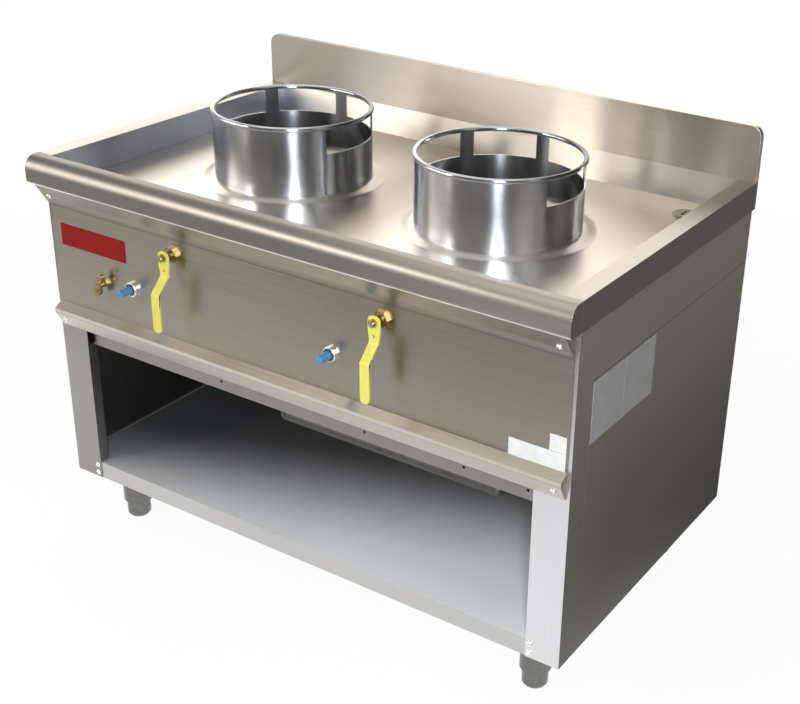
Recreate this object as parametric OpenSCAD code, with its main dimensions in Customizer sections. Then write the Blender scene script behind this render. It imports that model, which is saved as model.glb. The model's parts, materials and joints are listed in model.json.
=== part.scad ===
// Two-ring gas wok range: a pressed worktop with a sunk basin on an open cabinet.
// Millimetres, +Z up, front at -Y, origin on the floor below the middle of the range.

/* [Worktop] */
// Width of the worktop
worktop_w = 1300; // [1200:10:1500]
// Depth of the worktop, front rim to splashback flange
worktop_d = 800; // [760:10:900]
// Height of the rim above the floor
rim_z = 900; // [860:5:960]
// Height of the rim's outer face
rim_h = 60; // [48:1:62]
// Width of the flat rim round the basin
rim_w = 40; // [38:1:46]
// Radius of the rounded front edge at its top
nose_upper_r = 28; // [16:1:32]
// Radius of the rounded front edge at its bottom
nose_lower_r = 10; // [4:1:14]
// Width of the return flange under the rim
rim_return = 16; // [14:1:22]
// Depth of the basin floor below the rim
basin_depth = 65; // [63:1:75]
// Distance the basin's rear wall leans back from its foot
wall_lean = 14; // [4:1:20]
// Thickness of the stainless sheet
sheet_t = 2; // [1.5:0.1:2.5]

/* [Splashback] */
// Height of the splashback above the rim
splash_h = 120; // [80:5:180]
// Depth of the flange folded back round the splashback
splash_flange = 13; // [8:1:20]
// Radius of the splashback's top corners
splash_corner_r = 24; // [10:1:40]
// Depth of the fixing tongue below the rim
splash_tongue = 50; // [30:1:60]

/* [Wok rings] */
// Distance between the two ring centres
ring_pitch = 524; // [480:2:560]
// Outer radius of a ring's shell
ring_r = 170; // [160:1:180]
// Height of a ring, collar to the top of the rod
ring_h = 149; // [120:1:170]
// Wall of a ring's shell
ring_t = 3; // [2:0.5:4]
// Diameter of the rod round the top
ring_rod_d = 10; // [8:1:14]
// Height of the windows below the rod
window_h = 50; // [30:1:60]
// Half angle of the solid front of a ring
window_start = 63; // [58:1:75]
// Angle from the front to the two outer uprights
window_upright = 124; // [115:1:130]
// Width of an upright between two windows
upright_w = 30; // [20:1:40]

/* [Burner openings] */
// Outer radius of the raised collar round a burner
collar_r = 200; // [196:1:206]
// Width of the collar's sloping edge
collar_slope = 18; // [10:1:22]
// Height of the collar above the basin floor
collar_h = 6; // [4:1:12]
// Radius of the burner opening
opening_r = 148; // [140:1:150]
// Height of the locating lip above the collar
lip_h = 10; // [6:1:16]
// Gap between the locating lip and a ring
lip_gap = 3; // [1:0.5:5]

/* [Burners] */
// Radius of a burner
burner_r = 78; // [70:1:85]
// Depth of the burner's top below the rim
burner_drop = 48; // [45:1:52]
// Height of the cast cap
cap_h = 34; // [30:1:38]
// Height of the cast bowl
bowl_h = 46; // [44:1:50]
// Wall of the castings
cast_t = 6; // [5:0.5:8]
// Ports in the outer row of a cap
port_count = 24; // [16:2:30]
// Radius of a port
port_r = 3; // [2:0.5:4]
// Outer radius of a mixing tube
mix_r = 18; // [16:1:19]
// Bore radius of a mixing tube
mix_bore_r = 13; // [11:1:14]
// Distance from a valve's axis to the mouth of its mixing tube
mouth_reach = 65; // [60:1:90]
// Height of a tube's axis above the bottom of the bowl
mix_rise = 24; // [22:1:25]
// Leg length of the angle rails below the burners
rail_leg = 30; // [24:1:34]
// Distance of the two rails from the burner centres
rail_y = 50; // [46:1:54]

/* [Cabinet] */
// Set-back of the side faces from the rim
side_inset = 5; // [2:1:12]
// Set-back of the posts from the front of the rim
front_inset = 47; // [46:1:60]
// Set-back of the back panel from the splashback flange
back_inset = 2; // [2:1:12]
// Clear height below the cabinet
leg_h = 130; // [110:5:160]
// Width of a front post
post_w = 75; // [60:1:90]
// Depth of a post's side return
post_return = 60; // [50:1:80]
// Depth of a post's inner lip
post_lip = 25; // [15:1:30]
// Rise of the slanted top of the side return
post_cut = 80; // [60:1:85]
// Width of the seams between the side sheets
seam_gap = 0.6; // [0.4:0.1:1]
// Height of an upper side apron
apron_h = 118; // [115:1:130]
// Overlap of the hidden tongues behind the seams
tongue_w = 18; // [12:1:24]
// Height of the shelf's front lip
shelf_lip = 40; // [30:1:50]
// Return below the shelf's front lip
shelf_return = 15; // [10:1:25]

/* [Control panel] */
// Gap between the panel's ends and the side faces
panel_end_gap = 8; // [4:1:12]
// Set-back of the panel's top edge from the front of the rim
panel_top_in = 9; // [6:1:10]
// Height of the sloping top strip
panel_top_h = 55; // [48:1:56]
// Height of the flat face
panel_face_h = 222; // [210:1:240]
// Height of the sloping ledge
panel_ledge_h = 12; // [10:1:18]
// Height of the upright face below the ledge
panel_nose_h = 10; // [6:1:14]
// Projection of the ledge in front of the face
panel_ledge_out = 20; // [14:1:22]
// Height of the bottom strip
panel_foot_h = 34; // [28:1:40]
// Distance of the panel screws from the panel's ends
panel_screw_in = 20; // [16:1:30]
// Height of the rail that shows below the panel
rail_show = 37; // [30:1:45]
// Set-back of the rail behind the posts
rail_back = 13; // [11:1:16]

/* [Gas valves] */
// Shift of each lever from the centre of its ring
lever_shift = -27; // [-32:1:-20]
// Depth of the lever pivots below the mixing tubes
lever_below = 41; // [40:1:52]
// Length of a lever, pivot to tip
lever_len = 155; // [140:1:160]
// Width of a lever
lever_w = 22; // [18:1:26]
// Thickness of a lever
lever_t = 5; // [4:0.5:6]
// Radius of a lever's round head
lever_head_r = 14; // [13:1:18]
// Length of the straight head below the pivot
lever_neck = 40; // [36:1:46]
// Height of the outward bend
lever_bend_h = 32; // [26:1:40]
// Reach of the outward bend
lever_bend_out = 30; // [20:1:34]
// Gap between the panel's face and a lever's head
lever_gap = 22; // [20:1:26]
// Distance of a valve's axis behind the posts' front face
valve_back = 43; // [41:1:48]
// Radius of a valve's ball
ball_r = 12.5; // [11:0.5:13]
// Clearance round a valve's ball
ball_gap = 0.3; // [0.2:0.1:0.5]
// Radius of a valve's gas bore
gas_bore_r = 8; // [6:0.5:8]
// Radius of a valve's stem
stem_r = 5; // [4:0.5:6]
// Radial running clearance of stems and buttons
run_gap = 0.05; // [0.02:0.01:0.1]

/* [Igniters and pilot tap] */
// Distance of a button to the left of its lever
button_left = 121; // [110:1:130]
// Depth of the buttons below the rim
button_drop = 252; // [245:1:258]
// Radius of a button
button_r = 10; // [8:0.5:11]
// Reach of a button in front of the panel's face
button_out = 40; // [34:1:42]
// Travel of a button
button_travel = 6; // [3:0.5:8]
// Depth of the pilot tap below the rim
tap_drop = 258; // [250:1:262]
// Length of the tap's handle
tap_handle_len = 54; // [44:1:60]
// Tilt of the tap's handle from upright
tap_tilt = 18; // [0:1:30]

/* [Gas pipes] */
// Depth of the manifold's axis below the levers
manifold_drop = 155; // [148:1:162]
// Outer radius of the manifold
manifold_r = 17; // [15:1:18]
// Outer radius of the supply pipe
supply_r = 13.5; // [12:0.5:15]
// Wall of the gas pipes
pipe_wall = 3; // [2:0.5:4]
// Place of the supply riser, from the middle of the range
riser_x = -40; // [-80:5:0]
// Place of the rear gas inlet, from the middle of the range
inlet_x = 470; // [420:5:480]
// Drop of the supply pipe below the compartment floor
supply_drop = 22; // [18:1:30]

/* [Drain] */
// Distance of the drain from the right basin wall
drain_in_x = 65; // [50:1:80]
// Distance of the drain from the rear basin wall
drain_in_y = 95; // [80:1:150]
// Bore radius of the drain
drain_r = 18; // [14:1:20]
// Height of the drain's lower end above the floor
drain_end_z = 400; // [380:5:410]

/* [Legs] */
// Distance of the legs from the middle of the range
leg_x = 550; // [500:5:560]
// Distance of the front legs behind the posts' front face
leg_front_in = 85; // [70:1:110]
// Distance of the rear legs in front of the back panel
leg_back_in = 96; // [60:1:120]
// Radius of a leg's fixed upper part
leg_r = 33; // [28:1:36]
// Radius of an adjustable foot
foot_r = 27; // [22:1:27]
// Height of a foot
foot_h = 42; // [34:1:50]
// Radius of a foot's stem
foot_stem_r = 10; // [8:1:12]
// Length of a foot's stem
foot_stem_len = 70; // [50:1:75]

/* [Plates] */
// Length of the badge plate
badge_w = 188; // [150:1:200]
// Height of the badge plate
badge_h = 49; // [40:1:55]
// Thickness of the plates
plate_t = 1; // [0.6:0.1:1.5]
// Length of the long notice plate
notice_w = 118; // [90:1:130]
// Height of the long notice plate
notice_h = 35; // [28:1:40]
// Size of the square notice plate
notice_square = 34; // [28:1:40]
// Length of each grey side plate
side_plate_w = 124; // [100:1:130]
// Height of the grey side plates
side_plate_h = 126; // [100:1:130]

/* [Hidden] */
$fn = 64;
half_w = worktop_w / 2;
half_d = worktop_d / 2;
rim_low_z = rim_z - rim_h;
basin_z = rim_z - basin_depth;
under_z = basin_z - sheet_t;
basin_half_w = half_w - rim_w;
basin_front_y = rim_w - half_d;
basin_back_y = half_d - splash_flange - sheet_t;
wall_back_y = basin_back_y + sheet_t;

side_x = half_w - side_inset;
inner_x = side_x - sheet_t;
tongue_x = inner_x - sheet_t;
post_y = front_inset - half_d;
post_in_x = side_x - post_w;
post_back_y = post_y + post_return;
back_y = half_d - back_inset;
back_in_y = back_y - sheet_t;
knee_z = rim_low_z - apron_h;
tongue_up = 8;
tongue_end_gap = 25;
shelf_z = leg_h + shelf_lip;

face_y = post_y - sheet_t;
panel_half_w = side_x - panel_end_gap;
panel_top_y = panel_top_in - half_d;
strip_z = rim_low_z - panel_top_h;
ledge_z = strip_z - panel_face_h;
nose_top_z = ledge_z - panel_ledge_h;
nose_z = nose_top_z - panel_nose_h;
panel_low_z = nose_z - panel_foot_h;
nose_y = face_y - panel_ledge_out;
foot_y = face_y - 1;
panel_pts = [
    [panel_top_y, rim_low_z],
    [face_y, strip_z],
    [face_y, ledge_z],
    [nose_y, nose_top_z],
    [nose_y, nose_z],
    [foot_y, panel_low_z]
];
comp_z = panel_low_z - rail_show;
rail_front_y = post_y + rail_back;
rail_hole_r = 3;
rail_hole_xs = [-190, 180, post_in_x - 158, post_in_x - 18];
rail_hole_up = 20;

ring_x = ring_pitch / 2;
collar_z = basin_z + collar_h;
lip_r = ring_r - ring_t - lip_gap;
rod_z = collar_z + ring_h - ring_rod_d / 2;
shell_top_z = rod_z - ring_rod_d / 2 + ring_t;
window_z = rod_z - ring_rod_d / 2 - window_h;
upright_half = asin(upright_w / 2 / ring_r);

cap_top_z = rim_z - burner_drop;
cap_z = cap_top_z - cap_h;
bowl_z = cap_z - bowl_h;
mix_z = bowl_z + mix_rise;
mix_flange_r = mix_r + 6;
mix_flange_t = 8;
bowl_stub_out = 32;
bowl_stub_y = -burner_r - bowl_stub_out;

lever_xs = [lever_shift - ring_x, lever_shift + ring_x];
lever_z = mix_z - lever_below;
head_y = face_y - lever_gap;
grip_y = head_y - lever_bend_out;
lever_front_y = grip_y - lever_t;
lever_hole_r = 3;
lever_hole_down = 28;
valve_y = post_y + valve_back;
mix_mouth_y = valve_y + mouth_reach;
mix_len = bowl_stub_y - mix_mouth_y;
valve_half_h = 28;
valve_r = 20;
valve_hex_r = 19.5;
valve_hex_h = 10;
valve_neck_r = 11;
valve_neck_out = 14;
valve_shoulder_r = 15;
fit_gap = 0.4;
nut_t = 8;
stem_shoulder_r = 8;
stem_shoulder_t = 4;
lever_nut_r = 9;
lever_nut_t = 7;
stem_end_t = 3;

button_z = rim_z - button_drop;
neck_wall = 2.5;
neck_r = button_r + neck_wall;
collar_t = 9;
barrel_r = neck_r + 2.5;
barrel_len = 53;
barrel_back_y = post_y + barrel_len;
button_tip_y = face_y - button_out;
button_in_y = post_y + 5;
spring_gap = 1;
spring_len = 14;
spring_wall = 2;
spring_front_y = button_in_y + button_travel + spring_gap;
button_bore_y = spring_front_y + spring_len;

tap_x = (lever_xs[0] - button_left - post_in_x) / 2;
tap_z = rim_z - tap_drop;
tap_neck_r = 6;
tap_nut_r = tap_neck_r + 3;
tap_neck_out = 8;
tap_barrel_r = 9;
tap_block = 18;
tap_stem_r = 4;
tap_hub_r = 8;
tap_hub_gap = 3;
tap_hub_t = 14;
tap_wing_w = 13;
tap_wing_t = 8;
tap_stem_in = 22;

manifold_z = lever_z - manifold_drop;
manifold_end = 45;
riser_boss_h = 30;
valve_riser_r = 13;
tap_riser_r = 8;
tap_riser_bore_r = 3;
supply_z = comp_z - supply_drop;
supply_bore_r = supply_r - pipe_wall;
inlet_end_y = -lever_front_y;
inlet_r = supply_r - 0.3;
inlet_len = 22;
inlet_hex_r = supply_r + 5;
inlet_hex_t = 10;
inlet_hole_r = supply_r + 22;
hole_gap = 1.5;

pilot_r = 4;
pilot_y = -burner_r - 22;
pilot_side = 55;
pilot_head_r = 7;
pilot_head_h = 14;
pilot_top_z = basin_z + 4;
electrode_side = burner_r + 4;
electrode_base = 14;
electrode_base_h = 10;
electrode_r = 4.5;
electrode_top_z = cap_top_z - 12;
spark_r = 1.5;
spark_reach = 12;
lead_r = 2.5;
lead_front = 50;
lead_y = pilot_y - lead_front;
lead_rise = 20;
lead_run_z = button_z + lead_rise;

drain_x = basin_half_w - drain_in_x;
drain_y = basin_back_y - drain_in_y;
drain_wall = 2;
drain_flange_r = drain_r + 14;
drain_flange_t = 2;
drain_seat_gap = 0.5;
drain_throat = 30;
drain_spigot = 40;
drain_grate_r = drain_r + 8;
drain_grate_t = 1.5;
drain_slot_w = 4;
drain_slot_pitch = 8;

leg_ys = [post_y + leg_front_in, back_in_y - leg_back_in];
leg_plate = 90;
leg_plate_t = 3;
shelf_under_z = shelf_z - sheet_t;
foot_bevel = 6;
foot_bevel_in = 4;
leg_bore_spare = 8;

screw_head_r = 6.5;
screw_head_h = 3.2;
screw_r = 2;
screw_hole_gap = 0.2;
screw_len = 8;
post_screw_len = 9;
post_screw_in = 9;
post_screw_up = 12;
post_screw_pitch = 20;
post_screw_zs = [leg_h + post_screw_up, leg_h + post_screw_up + post_screw_pitch];

badge_in = 25;
badge_up = 35;
notice_in = 4;
notice_gap = 0.6;
side_plate_gap = 0.5;
side_plate_in = 3;

// Extrudes a profile drawn in Y and Z along X
module along_x(x0, x1) {
    translate([x0, 0, 0]) rotate([90, 0, 90]) linear_extrude(x1 - x0) children();
}

// Extrudes an outline drawn in X and Z along Y
module along_y(y0, y1) {
    translate([0, y1, 0]) rotate([90, 0, 0]) linear_extrude(y1 - y0) children();
}

// Solid box between two corners
module block(low, high) {
    translate(low) cube(high - low);
}

// Cylinder along Y from y0 to y1
module rod_y(x, z, r, y0, y1) {
    translate([x, y1, z]) rotate([90, 0, 0]) cylinder(r = r, h = y1 - y0);
}

// Cylinder along X from x0 to x1
module rod_x(y, z, r, x0, x1) {
    translate([x0, y, z]) rotate([0, 90, 0]) cylinder(r = r, h = x1 - x0);
}

// Cylinder along Z from z0 to z1
module rod_z(x, y, r, z0, z1) {
    translate([x, y, z0]) cylinder(r = r, h = z1 - z0);
}

// Hexagon prism along Y from y0 to y1
module hex_y(x, z, r, y0, y1) {
    translate([x, y1, z]) rotate([90, 0, 0]) cylinder(r = r, h = y1 - y0, $fn = 6);
}

// Turns a profile drawn as radius and height round a Y axis, height towards the front
module turned_y(x, y, z) {
    translate([x, y, z]) rotate([90, 0, 0]) rotate_extrude() children();
}

// Rectangle with four round corners, centred on the origin
module round_rect(w, d, r) {
    square([w - 2 * r, d], center = true);
    square([w, d - 2 * r], center = true);
    for (i = [-1, 1], j = [-1, 1]) translate([i * (w / 2 - r), j * (d / 2 - r)]) circle(r);
}

// Unit vector across a fold line, towards its inner side
function across(a, b) = [a[1] - b[1], b[0] - a[0]] / norm(b - a);

// Corner of the inner face of a folded sheet at point i
function inner_corner(p, i, t) =
    i == 0 ? p[0] + t * across(p[0], p[1]) :
    i == len(p) - 1 ? p[i] + t * across(p[i - 1], p[i]) :
    let (m = across(p[i - 1], p[i]), n = across(p[i], p[i + 1]))
    p[i] + t * (m + n) / (1 + m * n);

// Section of a folded sheet whose outer face follows the points
module folded(p, t) {
    last = len(p) - 1;
    polygon(concat(p, [for (i = [0:last]) inner_corner(p, last - i, t)]));
}

// Mirrors a right-hand piece to the left
module left() {
    mirror([1, 0, 0]) children();
}

// Section of the front rim with its rounded edge
module rim_section(inset) {
    y0 = inset - half_d;
    y1 = basin_front_y - inset;
    z0 = rim_low_z + inset;
    z1 = rim_z - inset;
    ru = nose_upper_r - inset;
    rl = nose_lower_r - inset;
    translate([y0 + ru, z0 + rl]) square([y1 - y0 - ru, z1 - z0 - rl]);
    translate([y0, z0 + rl]) square([y1 - y0, z1 - z0 - rl - ru]);
    translate([y0 + rl, z0]) square([y1 - y0 - rl, z1 - z0 - ru]);
    translate([y0 + ru, z1 - ru]) intersection() {
        circle(ru);
        translate([-ru, 0]) square(ru);
    }
    translate([y0 + rl, z0 + rl]) circle(rl);
}

// Hollow front rim, open below behind its return flange, with the basin's front wall
module front_rim() {
    open_x = half_w - rim_return;
    open_y = rim_return - half_d;
    wall_x = basin_half_w + sheet_t;
    color("#c2bcb2") {
        difference() {
            along_x(-half_w, half_w) rim_section(0);
            along_x(sheet_t - half_w, half_w - sheet_t) rim_section(sheet_t);
            block([-open_x, open_y, rim_low_z - 1], [open_x, basin_front_y - sheet_t, rim_low_z + sheet_t + 1]);
        }
        block([-wall_x, basin_front_y - sheet_t, basin_z], [wall_x, basin_front_y, rim_low_z]);
    }
}

// Hollow side rim with the basin's side wall and a closed rear end
module side_rim() {
    wall_x = basin_half_w + sheet_t;
    end_y = half_d - sheet_t;
    difference() {
        block([basin_half_w, basin_front_y, rim_low_z], [half_w, half_d, rim_z]);
        block([wall_x, basin_front_y - 1, rim_low_z + sheet_t], [half_w - sheet_t, end_y, rim_z - sheet_t]);
        block([wall_x, basin_front_y - 1, rim_low_z - 1], [half_w - rim_return, end_y, rim_low_z + sheet_t + 1]);
    }
    block([basin_half_w, basin_front_y, basin_z], [wall_x, wall_back_y, rim_low_z]);
}

module left_rim() {
    color("#beb8ae") left() side_rim();
}

module right_rim() {
    color("#beb8ae") side_rim();
}

// Rear wall of the basin, leaning back to the foot of the splashback
module basin_wall() {
    base_y = basin_back_y - wall_lean;
    color("#b9b3aa") along_x(-basin_half_w, basin_half_w) polygon([
        [base_y, basin_z],
        [base_y + sheet_t, basin_z],
        [wall_back_y, rim_z],
        [basin_back_y, rim_z]
    ]);
}

// Floor of the basin with the two burner openings and the drain hole
module basin_floor() {
    x1 = basin_half_w + sheet_t;
    color("#b9b3aa") difference() {
        block([-x1, basin_front_y - sheet_t, under_z], [x1, wall_back_y, basin_z]);
        for (s = [-1, 1]) rod_z(s * ring_x, 0, opening_r, under_z - 1, basin_z + 1);
        rod_z(drain_x, drain_y, drain_r + drain_wall + drain_seat_gap, under_z - 1, basin_z + 1);
    }
}

// Raised collars on the basin floor, each with a lip that locates its ring
module burner_collars() {
    color("#aca69d") for (s = [-1, 1]) translate([s * ring_x, 0, 0]) rotate_extrude() polygon([
        [opening_r, basin_z],
        [collar_r, basin_z],
        [collar_r - collar_slope, collar_z],
        [lip_r, collar_z],
        [lip_r, collar_z + lip_h],
        [lip_r - sheet_t, collar_z + lip_h],
        [lip_r - sheet_t, collar_z],
        [opening_r, collar_z]
    ]);
}

// Outline of the splashback, with an inset all round but at its foot
module splash_outline(inset) {
    w = half_w - inset;
    top = rim_z + splash_h - inset;
    r = splash_corner_r - inset;
    translate([-w, rim_z]) square([2 * w, top - r - rim_z]);
    translate([r - w, rim_z]) square([2 * (w - r), top - rim_z]);
    for (s = [-1, 1]) translate([s * (w - r), top - r]) circle(r);
}

module splashback() {
    tongue_half = basin_half_w;
    color("#bdb7ae") {
        difference() {
            along_y(basin_back_y, half_d) splash_outline(0);
            along_y(wall_back_y, half_d + 1) splash_outline(sheet_t);
            block([sheet_t - half_w, wall_back_y, rim_z - 1], [half_w - sheet_t, half_d + 1, rim_z + 1]);
        }
        block([-tongue_half, wall_back_y, rim_z - splash_tongue],
            [tongue_half, wall_back_y + sheet_t, rim_z + splash_tongue]);
    }
}

// Wedge between two angles counted from the front
module window_wedge(a, b) {
    far = 2 * ring_r;
    translate([0, 0, window_z]) linear_extrude(ring_h)
        polygon([[0, 0], far * [sin(a), -cos(a)], far * [sin(b), -cos(b)]]);
}

// Shell with four windows and the rod welded round its top
module wok_ring(x) {
    sides = [window_start, window_upright, 180, 360 - window_upright, 360 - window_start];
    translate([x, 0, 0]) {
        difference() {
            rotate_extrude() translate([ring_r - ring_t, collar_z]) square([ring_t, shell_top_z - collar_z]);
            for (i = [0:3])
                window_wedge(sides[i] + (i > 0 ? upright_half : 0), sides[i + 1] - (i < 3 ? upright_half : 0));
        }
        rotate_extrude() translate([ring_r - ring_t / 2, rod_z]) circle(ring_rod_d / 2);
    }
}

module left_wok_ring() {
    color("#c4c2c2") wok_ring(-ring_x);
}

module right_wok_ring() {
    color("#c4c2c2") wok_ring(ring_x);
}

module drain_fitting() {
    r1 = drain_r + drain_wall;
    spigot_z = drain_end_z + drain_spigot;
    color("#8c8a88") translate([drain_x, drain_y, 0]) rotate_extrude() polygon([
        [drain_r, basin_z + drain_flange_t],
        [drain_flange_r, basin_z + drain_flange_t],
        [drain_flange_r, basin_z],
        [r1, basin_z],
        [r1, spigot_z],
        [r1 - drain_wall / 2, spigot_z],
        [r1 - drain_wall / 2, drain_end_z],
        [drain_r, drain_end_z]
    ]);
}

module drain_grate() {
    z0 = basin_z + drain_flange_t;
    reach = drain_r - drain_slot_w;
    color("#a5a29e") difference() {
        rod_z(drain_x, drain_y, drain_grate_r, z0, z0 + drain_grate_t);
        for (i = [-1, 0, 1])
            block([drain_x + i * drain_slot_pitch - drain_slot_w / 2, drain_y - reach, z0 - 1],
                [drain_x + i * drain_slot_pitch + drain_slot_w / 2, drain_y + reach, z0 + drain_grate_t + 1]);
    }
}

module side_panel() {
    block([inner_x, post_back_y + seam_gap, leg_h], [side_x, back_y, knee_z]);
}

module left_side_panel() {
    color("#84817e") left() side_panel();
}

module right_side_panel() {
    color("#84817e") side_panel();
}

// Upper side sheet, cut on the slant above the post, with its tongue behind the seam
module apron() {
    low = knee_z + seam_gap;
    along_x(inner_x, side_x) polygon([
        [post_y, rim_low_z],
        [back_y, rim_low_z],
        [back_y, low],
        [post_back_y, low],
        [post_y, low + post_cut]
    ]);
    block([tongue_x, post_back_y + tongue_end_gap, knee_z - tongue_w],
        [inner_x, back_in_y - tongue_end_gap, knee_z + tongue_up]);
}

module left_apron() {
    color("#8a8784") left() apron();
}

module right_apron() {
    color("#8a8784") apron();
}

module back_panel() {
    color("#8e8b88") difference() {
        block([-inner_x, back_in_y, leg_h], [inner_x, back_y, rim_low_z]);
        rod_y(inlet_x, supply_z, inlet_hole_r, back_in_y - 1, back_y + 1);
    }
}

module post() {
    difference() {
        union() {
            block([post_in_x, post_y, leg_h], [inner_x, post_y + sheet_t, under_z]);
            along_x(inner_x, side_x) polygon([
                [post_y, leg_h],
                [post_back_y, leg_h],
                [post_back_y, knee_z],
                [post_y, knee_z + post_cut]
            ]);
            block([tongue_x, post_back_y - tongue_w, leg_h],
                [inner_x, post_back_y + tongue_w, knee_z - tongue_w - 2]);
            block([post_in_x, post_y, shelf_z], [post_in_x + sheet_t, post_y + post_lip, comp_z]);
        }
        for (z = post_screw_zs)
            rod_y(post_in_x + post_screw_in, z, screw_r + screw_hole_gap, post_y - 1, post_y + sheet_t + 1);
    }
}

module left_post() {
    color("#c9c8c8") left() post();
}

module right_post() {
    color("#c9c8c8") post();
}

module shelf() {
    lip_y = post_y + sheet_t;
    color("#b4b5b8") difference() {
        along_x(-tongue_x, tongue_x) folded([
            [back_in_y, shelf_z],
            [lip_y, shelf_z],
            [lip_y, leg_h],
            [lip_y + shelf_return, leg_h]
        ], sheet_t);
        for (s = [-1, 1], z = post_screw_zs)
            rod_y(s * (post_in_x + post_screw_in), z, screw_r + screw_hole_gap, lip_y - 1, lip_y + sheet_t + 1);
    }
}

module compartment_floor() {
    top = panel_low_z + panel_foot_h / 2;
    drain_pipe_r = drain_r + drain_wall;
    color("#aaa6a1") difference() {
        along_x(-tongue_x, tongue_x)
            folded([[rail_front_y, top], [rail_front_y, comp_z], [back_in_y, comp_z]], sheet_t);
        for (x = rail_hole_xs)
            rod_y(x, comp_z + rail_hole_up, rail_hole_r, rail_front_y - 1, rail_front_y + sheet_t + 1);
        rod_z(riser_x, valve_y, supply_r + hole_gap, comp_z - 1, comp_z + sheet_t + 1);
        rod_z(drain_x, drain_y, drain_pipe_r + hole_gap, comp_z - 1, comp_z + sheet_t + 1);
    }
}

// Places a screw in the middle of the panel's strip i, square to it
module on_strip(i, x) {
    a = panel_pts[i];
    b = panel_pts[i + 1];
    n = -across(a, b);
    mid = (a + b) / 2;
    translate([x, mid[0], mid[1]]) rotate([atan2(-n[0], n[1]), 0, 0]) children();
}

module panel_screw_places() {
    for (s = [-1, 1], i = [0, 4]) on_strip(i, s * (panel_half_w - panel_screw_in)) children();
}

// Folded front sheet with closed ends, cut level below the rim
module control_panel() {
    y0 = face_y - 1;
    y1 = post_y + 1;
    end_pts = concat(panel_pts, [[post_y, panel_low_z], [post_y, rim_low_z]]);
    color("#8f8a85") difference() {
        union() {
            along_x(-panel_half_w, panel_half_w) folded(panel_pts, sheet_t);
            for (s = [-1, 1]) scale([s, 1, 1]) along_x(panel_half_w - sheet_t, panel_half_w) polygon(end_pts);
        }
        block([-half_w, -half_d, rim_low_z], [half_w, post_y, rim_z]);
        for (x = lever_xs) {
            rod_y(x, lever_z, valve_neck_r + fit_gap, y0, y1);
            rod_y(x - button_left, button_z, neck_r + fit_gap, y0, y1);
        }
        rod_y(tap_x, tap_z, tap_neck_r + fit_gap, y0, y1);
        panel_screw_places() translate([0, 0, -2 * sheet_t])
            cylinder(r = screw_r + screw_hole_gap, h = 3 * sheet_t);
    }
}

// Dome-headed screw, its head's seat at the origin and its shank downwards
module dome_screw(length) {
    r = (screw_head_r ^ 2 + screw_head_h ^ 2) / (2 * screw_head_h);
    rotate_extrude() intersection() {
        translate([0, screw_head_h - r]) circle(r);
        square([screw_head_r, screw_head_h]);
    }
    translate([0, 0, -length]) cylinder(r = screw_r, h = length);
}

module panel_screws() {
    color("#e8e8e8") panel_screw_places() dome_screw(screw_len);
}

module post_screws() {
    color("#d8d8d8") for (s = [-1, 1], z = post_screw_zs)
        translate([s * (post_in_x + post_screw_in), post_y, z]) rotate([90, 0, 0]) dome_screw(post_screw_len);
}

module badge_plate() {
    x0 = badge_in - panel_half_w;
    z1 = strip_z - badge_up;
    color("#8c1c16") translate([x0 + badge_w / 2, face_y, z1 - badge_h / 2]) rotate([90, 0, 0])
        linear_extrude(plate_t) round_rect(badge_w, badge_h, 2);
}

module notice_plates() {
    x1 = panel_half_w - notice_in;
    split_z = ledge_z + notice_h;
    color("#eeeeea") {
        block([x1 - notice_w, face_y - plate_t, ledge_z], [x1, face_y, split_z]);
        block([x1 - notice_square, face_y - plate_t, split_z + notice_gap],
            [x1, face_y, split_z + notice_gap + notice_square]);
    }
}

module side_plates() {
    y0 = post_back_y + side_plate_in;
    z1 = knee_z - side_plate_in;
    y2 = y0 + side_plate_w + side_plate_gap;
    color("#9b9b99") {
        block([side_x, y0, z1 - side_plate_h], [side_x + plate_t, y0 + side_plate_w, z1]);
        block([side_x, y2, z1 - side_plate_h], [side_x + plate_t, y2 + side_plate_w, z1]);
    }
}

// Fixed upper leg with its top plate and the bore for the foot's stem
module leg_socket() {
    difference() {
        union() {
            translate([0, 0, shelf_under_z - leg_plate_t]) linear_extrude(leg_plate_t)
                square(leg_plate, center = true);
            rod_z(0, 0, leg_r, foot_h, shelf_under_z - leg_plate_t);
        }
        rod_z(0, 0, foot_stem_r + run_gap, foot_h - 1, foot_h + foot_stem_len + leg_bore_spare);
    }
}

module leg_sockets() {
    color("#8d8b86") for (s = [-1, 1], y = leg_ys) translate([s * leg_x, y, 0]) leg_socket();
}

// Adjustable foot with its stem, bevelled at the floor
module foot(x, y) {
    translate([x, y, 0]) rotate_extrude() polygon([
        [0, 0],
        [foot_r - foot_bevel_in, 0],
        [foot_r, foot_bevel],
        [foot_r, foot_h],
        [foot_stem_r, foot_h],
        [foot_stem_r, foot_h + foot_stem_len],
        [0, foot_h + foot_stem_len]
    ]);
}

module front_left_foot() {
    color("#77746e") foot(-leg_x, leg_ys[0]);
}

module front_right_foot() {
    color("#77746e") foot(leg_x, leg_ys[0]);
}

module rear_left_foot() {
    color("#77746e") foot(-leg_x, leg_ys[1]);
}

module rear_right_foot() {
    color("#77746e") foot(leg_x, leg_ys[1]);
}

module burner_rails() {
    leg_t = 3;
    y0 = -rail_leg / 2;
    color("#6d6b69") for (y = [-rail_y, rail_y]) along_x(-inner_x, inner_x)
        folded([[y - y0, bowl_z], [y + y0, bowl_z], [y + y0, bowl_z - rail_leg]], leg_t);
}

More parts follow.
